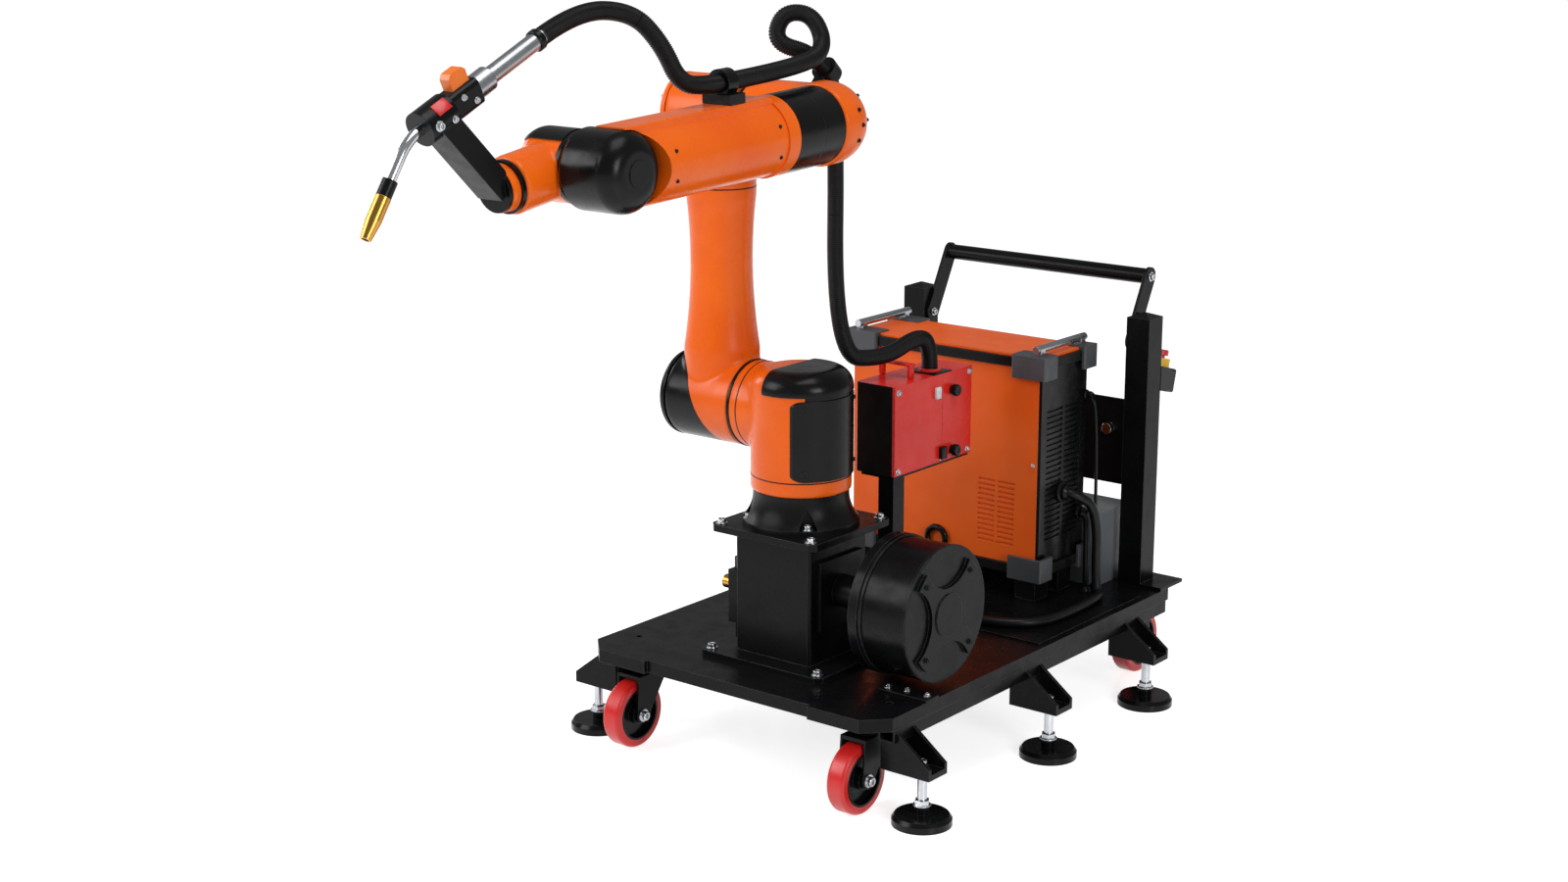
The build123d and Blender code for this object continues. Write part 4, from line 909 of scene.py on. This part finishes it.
# Each hoop has its middle and direction, its inner and outer diameters and its width.
sealSets = {
    "turretSeal": {"body": "turret", "hoops": [((0, arm["y"], 630), up, 215.4, 217.2, 2.5)]},
    "shoulderSeals": {
        "body": "turret",
        "hoops": [
            ((-126, arm["y"], arm["shoulderZ"]), toRight, 186.4, 189.6, 7),
            ((-104, arm["y"], arm["shoulderZ"]), toRight, 186.4, 188.2, 2.5),
        ],
    },
    "upperArmSeal": {"body": "upper_arm", "hoops": [((-216, arm["y"], 1222), up, 149.4, 151.2, 2.5)]},
    "elbowSeal": {"body": "elbow", "hoops": [((-114, arm["y"], arm["elbowZ"]), toRight, 157.4, 160.4, 7)]},
    "wristSeal": {"body": "wrist", "hoops": [((-17, -980.3, 1344.8), toRight, 136, 141, 12)]},
}


def fitSeals():
    for name, group in sealSets.items():
        bm = bmesh.new()
        for band in group["hoops"]:
            hoop(bm, *band)
        piece(name, bm, plain["blackAbs"], group["body"])


fitSeals()
print("arm seals fitted")

# Torch fittings

torchPanel = {"size": (24, 34, 3), "place": (23.5, 4, 23.5), "edge": 1}
torchScrews = [((32.6, -22, 0), 14), ((32.6, 16, -8), 10), ((22.8, 60, 10), 9), ((22.8, 86, -10), 9)]
torchSleeve = {"back": 286, "inner": 34.6, "outer": 42, "width": 14}


def fitTorch():
    out = (Vector(toRight) + torchUp).normalized()
    turn = Matrix((torchBack.cross(out), torchBack, out)).transposed().to_4x4()
    matrix = Matrix.Translation(at(*onTorch(*torchPanel["place"]))) @ turn
    bm = bmesh.new()
    slab(bm, matrix, torchPanel["size"], torchPanel["edge"])
    piece("torchPanel", bm, plain["redNylon"], "tool")
    bm = bmesh.new()
    for place, head in torchScrews:
        capScrew(bm, onTorch(*place), toRight, head)
    piece("torchScrews", bm, plain["zincSteel"], "tool")
    bm = bmesh.new()
    band = (torchSleeve["inner"], torchSleeve["outer"], torchSleeve["width"])
    hoop(bm, onTorch(0, torchSleeve["back"], 0), torchBack, *band)
    piece("hoseSleeve", bm, plain["blackAbs"], "tool")


fitTorch()
print("torch fitted")

# Feeder, drum, power source and cart fittings

feederFace = 125
feeder = {
    "knobs": {"spots": [(42, 758), (44, 622)], "diameter": 26, "height": 18},
    "switch": {"places": [(feederFace + 5, 4, 623)], "size": (10, 20, 28), "edge": 2},
    "hosePlate": {"places": [(88, 8, 801.5)], "size": (74, 66, 3), "edge": 1},
    "latch": {"places": [(feederFace + 4, -17, 761)], "size": (8, 18, 26), "edge": 2},
    "latchTab": {"places": [(feederFace + 8, -17, 766)], "size": (4, 12, 8), "edge": 1},
    "screws": {"spots": [(-160, 786), (-160, 612), (104, 612), (108, 788), (2, 612)], "head": 10},
    "grip": {"places": [(60, -78, 830)], "size": (90, 18, 7), "edge": 3},
    "gripLegs": {"places": [(22, -78, 815), (98, -78, 815)], "size": (9, 18, 30), "edge": 3},
}


def fitFeeder():
    bm = bmesh.new()
    for spot in feeder["knobs"]["spots"]:
        knob(bm, (feederFace, *spot), toRight, feeder["knobs"]["diameter"], feeder["knobs"]["height"])
    slabs(bm, feeder["switch"])
    slabs(bm, feeder["hosePlate"])
    piece("feederKnobs", bm, plain["blackAbs"], "cart")
    bm = bmesh.new()
    slabs(bm, feeder["latch"])
    slabs(bm, feeder["latchTab"])
    piece("feederLatch", bm, plain["whiteNylon"], "cart")
    bm = bmesh.new()
    for spot in feeder["screws"]["spots"]:
        capScrew(bm, (feederFace, *spot), toRight, feeder["screws"]["head"])
    piece("feederScrews", bm, plain["zincSteel"], "cart")
    bm = bmesh.new()
    slabs(bm, feeder["grip"])
    slabs(bm, feeder["gripLegs"])
    piece("feederHandle", bm, plain["redEnamel"], "cart")


drum = {
    "z": 388,
    "bands": [(264, 287, 296, 7), (372, 286, 292, 8)],  # place, inner and outer diameters, width
    "bolts": {"x": 385, "radius": 110, "head": 10},
}


def fitDrum():
    bm = bmesh.new()
    for x, inner, outer, width in drum["bands"]:
        hoop(bm, (x, arm["y"], drum["z"]), toRight, inner, outer, width)
    piece("drumBands", bm, plain["blackPowderCoat"], "cart")
    bolts = drum["bolts"]
    bm = bmesh.new()
    for turn in quarters:
        spot = heading(turn) * bolts["radius"]
        capScrew(bm, (bolts["x"], arm["y"] + spot.y, drum["z"] + spot.z), toRight, bolts["head"])
    piece("drumBolts", bm, plain["blackSatinPaint"], "cart")


weldEnd = 232
weldFront = 243
# Each gland and grommet has its place, its bore's radius and its flange's.
glands = [((weldEnd, 332, 482), 11.2, 24), ((weldEnd, 408, 417), 7.2, 17), ((weldEnd, 424, 694), 4.2, 11)]
grommets = [((268, 394, 232), 7.2, 15), ((270, 427, 232), 4.2, 10)]
pedestalGland = {
    "place": (98, -125, 251.3),
    "rows": [(11.2, 0), (21, 0), (21, 8), (16, 10), (13, 22), (11.2, 22)],
}
liftingEye = {"x": -45, "z": 344, "radius": 25, "thick": 7, "off": 7.2}
caseScrews = {"columns": (-278, 212), "levels": (770, 556, 328), "head": 7}


def fitPowerSource():
    bm = bmesh.new()
    for place, bore, wide in glands:
        neck = 0.76 * wide
        rows = [(bore, 0), (wide, 0), (wide, 7), (neck, 9), (neck, 18), (bore + 1.4, 24), (bore, 24)]
        spun(bm, place, toRight, rows, 24, True)
    for place, bore, wide in grommets:
        spun(bm, place, up, [(bore, 0), (wide, 0), (wide, 5), (bore + 2, 14), (bore, 14)], 24, True)
    spun(bm, pedestalGland["place"], toBack, pedestalGland["rows"], 24, True)
    piece("cableGlands", bm, plain["blackAbs"], "cart")
    bm = bmesh.new()
    ring = []
    for turn in range(0, 360, 30):
        spot = heading(turn) * liftingEye["thick"]
        ring.append((liftingEye["radius"] + spot.y, spot.z))
    spun(bm, (liftingEye["x"], weldFront - liftingEye["off"], liftingEye["z"]), toFront, ring, 48, True)
    piece("liftingEye", bm, plain["blackAbs"], "cart")
    bm = bmesh.new()
    for x in caseScrews["columns"]:
        for z in caseScrews["levels"]:
            capScrew(bm, (x, weldFront, z), toFront, caseScrews["head"])
    piece("caseScrews", bm, plain["zincSteel"], "cart")


lashing = {"places": [(338, -412, 230.5)], "size": (124, 44, 5), "edge": 1.2}
lashingBolts = {"places": [(292, -418, 233), (335, -410, 233), (385, -410, 233)], "head": 11}
handleBolts = {"out": 284, "y": 618, "z": 945, "head": 16}
postBolts = {"out": 276, "y": 545, "z": 806, "head": 14}
controller = {
    "door": {"places": [(0, 604, 316)], "size": (470, 5, 140), "edge": 2},
    "latches": {"places": [(-200, 606, 316), (200, 606, 316)], "diameter": 26, "height": 12},
    "vents": {"places": [(0, 606.6, z) for z in range(280, 356, 12)], "size": (150, 2, 5), "edge": 0.8},
}


def fitCart():
    bm = bmesh.new()
    slabs(bm, lashing)
    piece("lashingPlate", bm, plain["blackSatinPaint"], "cart")
    bm = bmesh.new()
    for place in lashingBolts["places"]:
        capScrew(bm, place, up, lashingBolts["head"])
    for side in (-1, 1):
        place = (side * handleBolts["out"], handleBolts["y"], handleBolts["z"])
        capScrew(bm, place, (side, 0, 0), handleBolts["head"])
        place = (side * postBolts["out"], postBolts["y"], postBolts["z"])
        capScrew(bm, place, (-side, 0, 0), postBolts["head"])
    piece("cartScrews", bm, plain["zincSteel"], "cart")
    bm = bmesh.new()
    slabs(bm, controller["door"])
    piece("controllerDoor", bm, plain["greyPaint"], "cart")
    latches = controller["latches"]
    bm = bmesh.new()
    for place in latches["places"]:
        knob(bm, place, toBack, latches["diameter"], latches["height"])
    slabs(bm, controller["vents"])
    piece("controllerLatches", bm, plain["blackAbs"], "cart")


fitFeeder()
fitDrum()
fitPowerSource()
fitCart()
print("feeder, drum, power source and cart fitted")

bpy.context.view_layer.update()
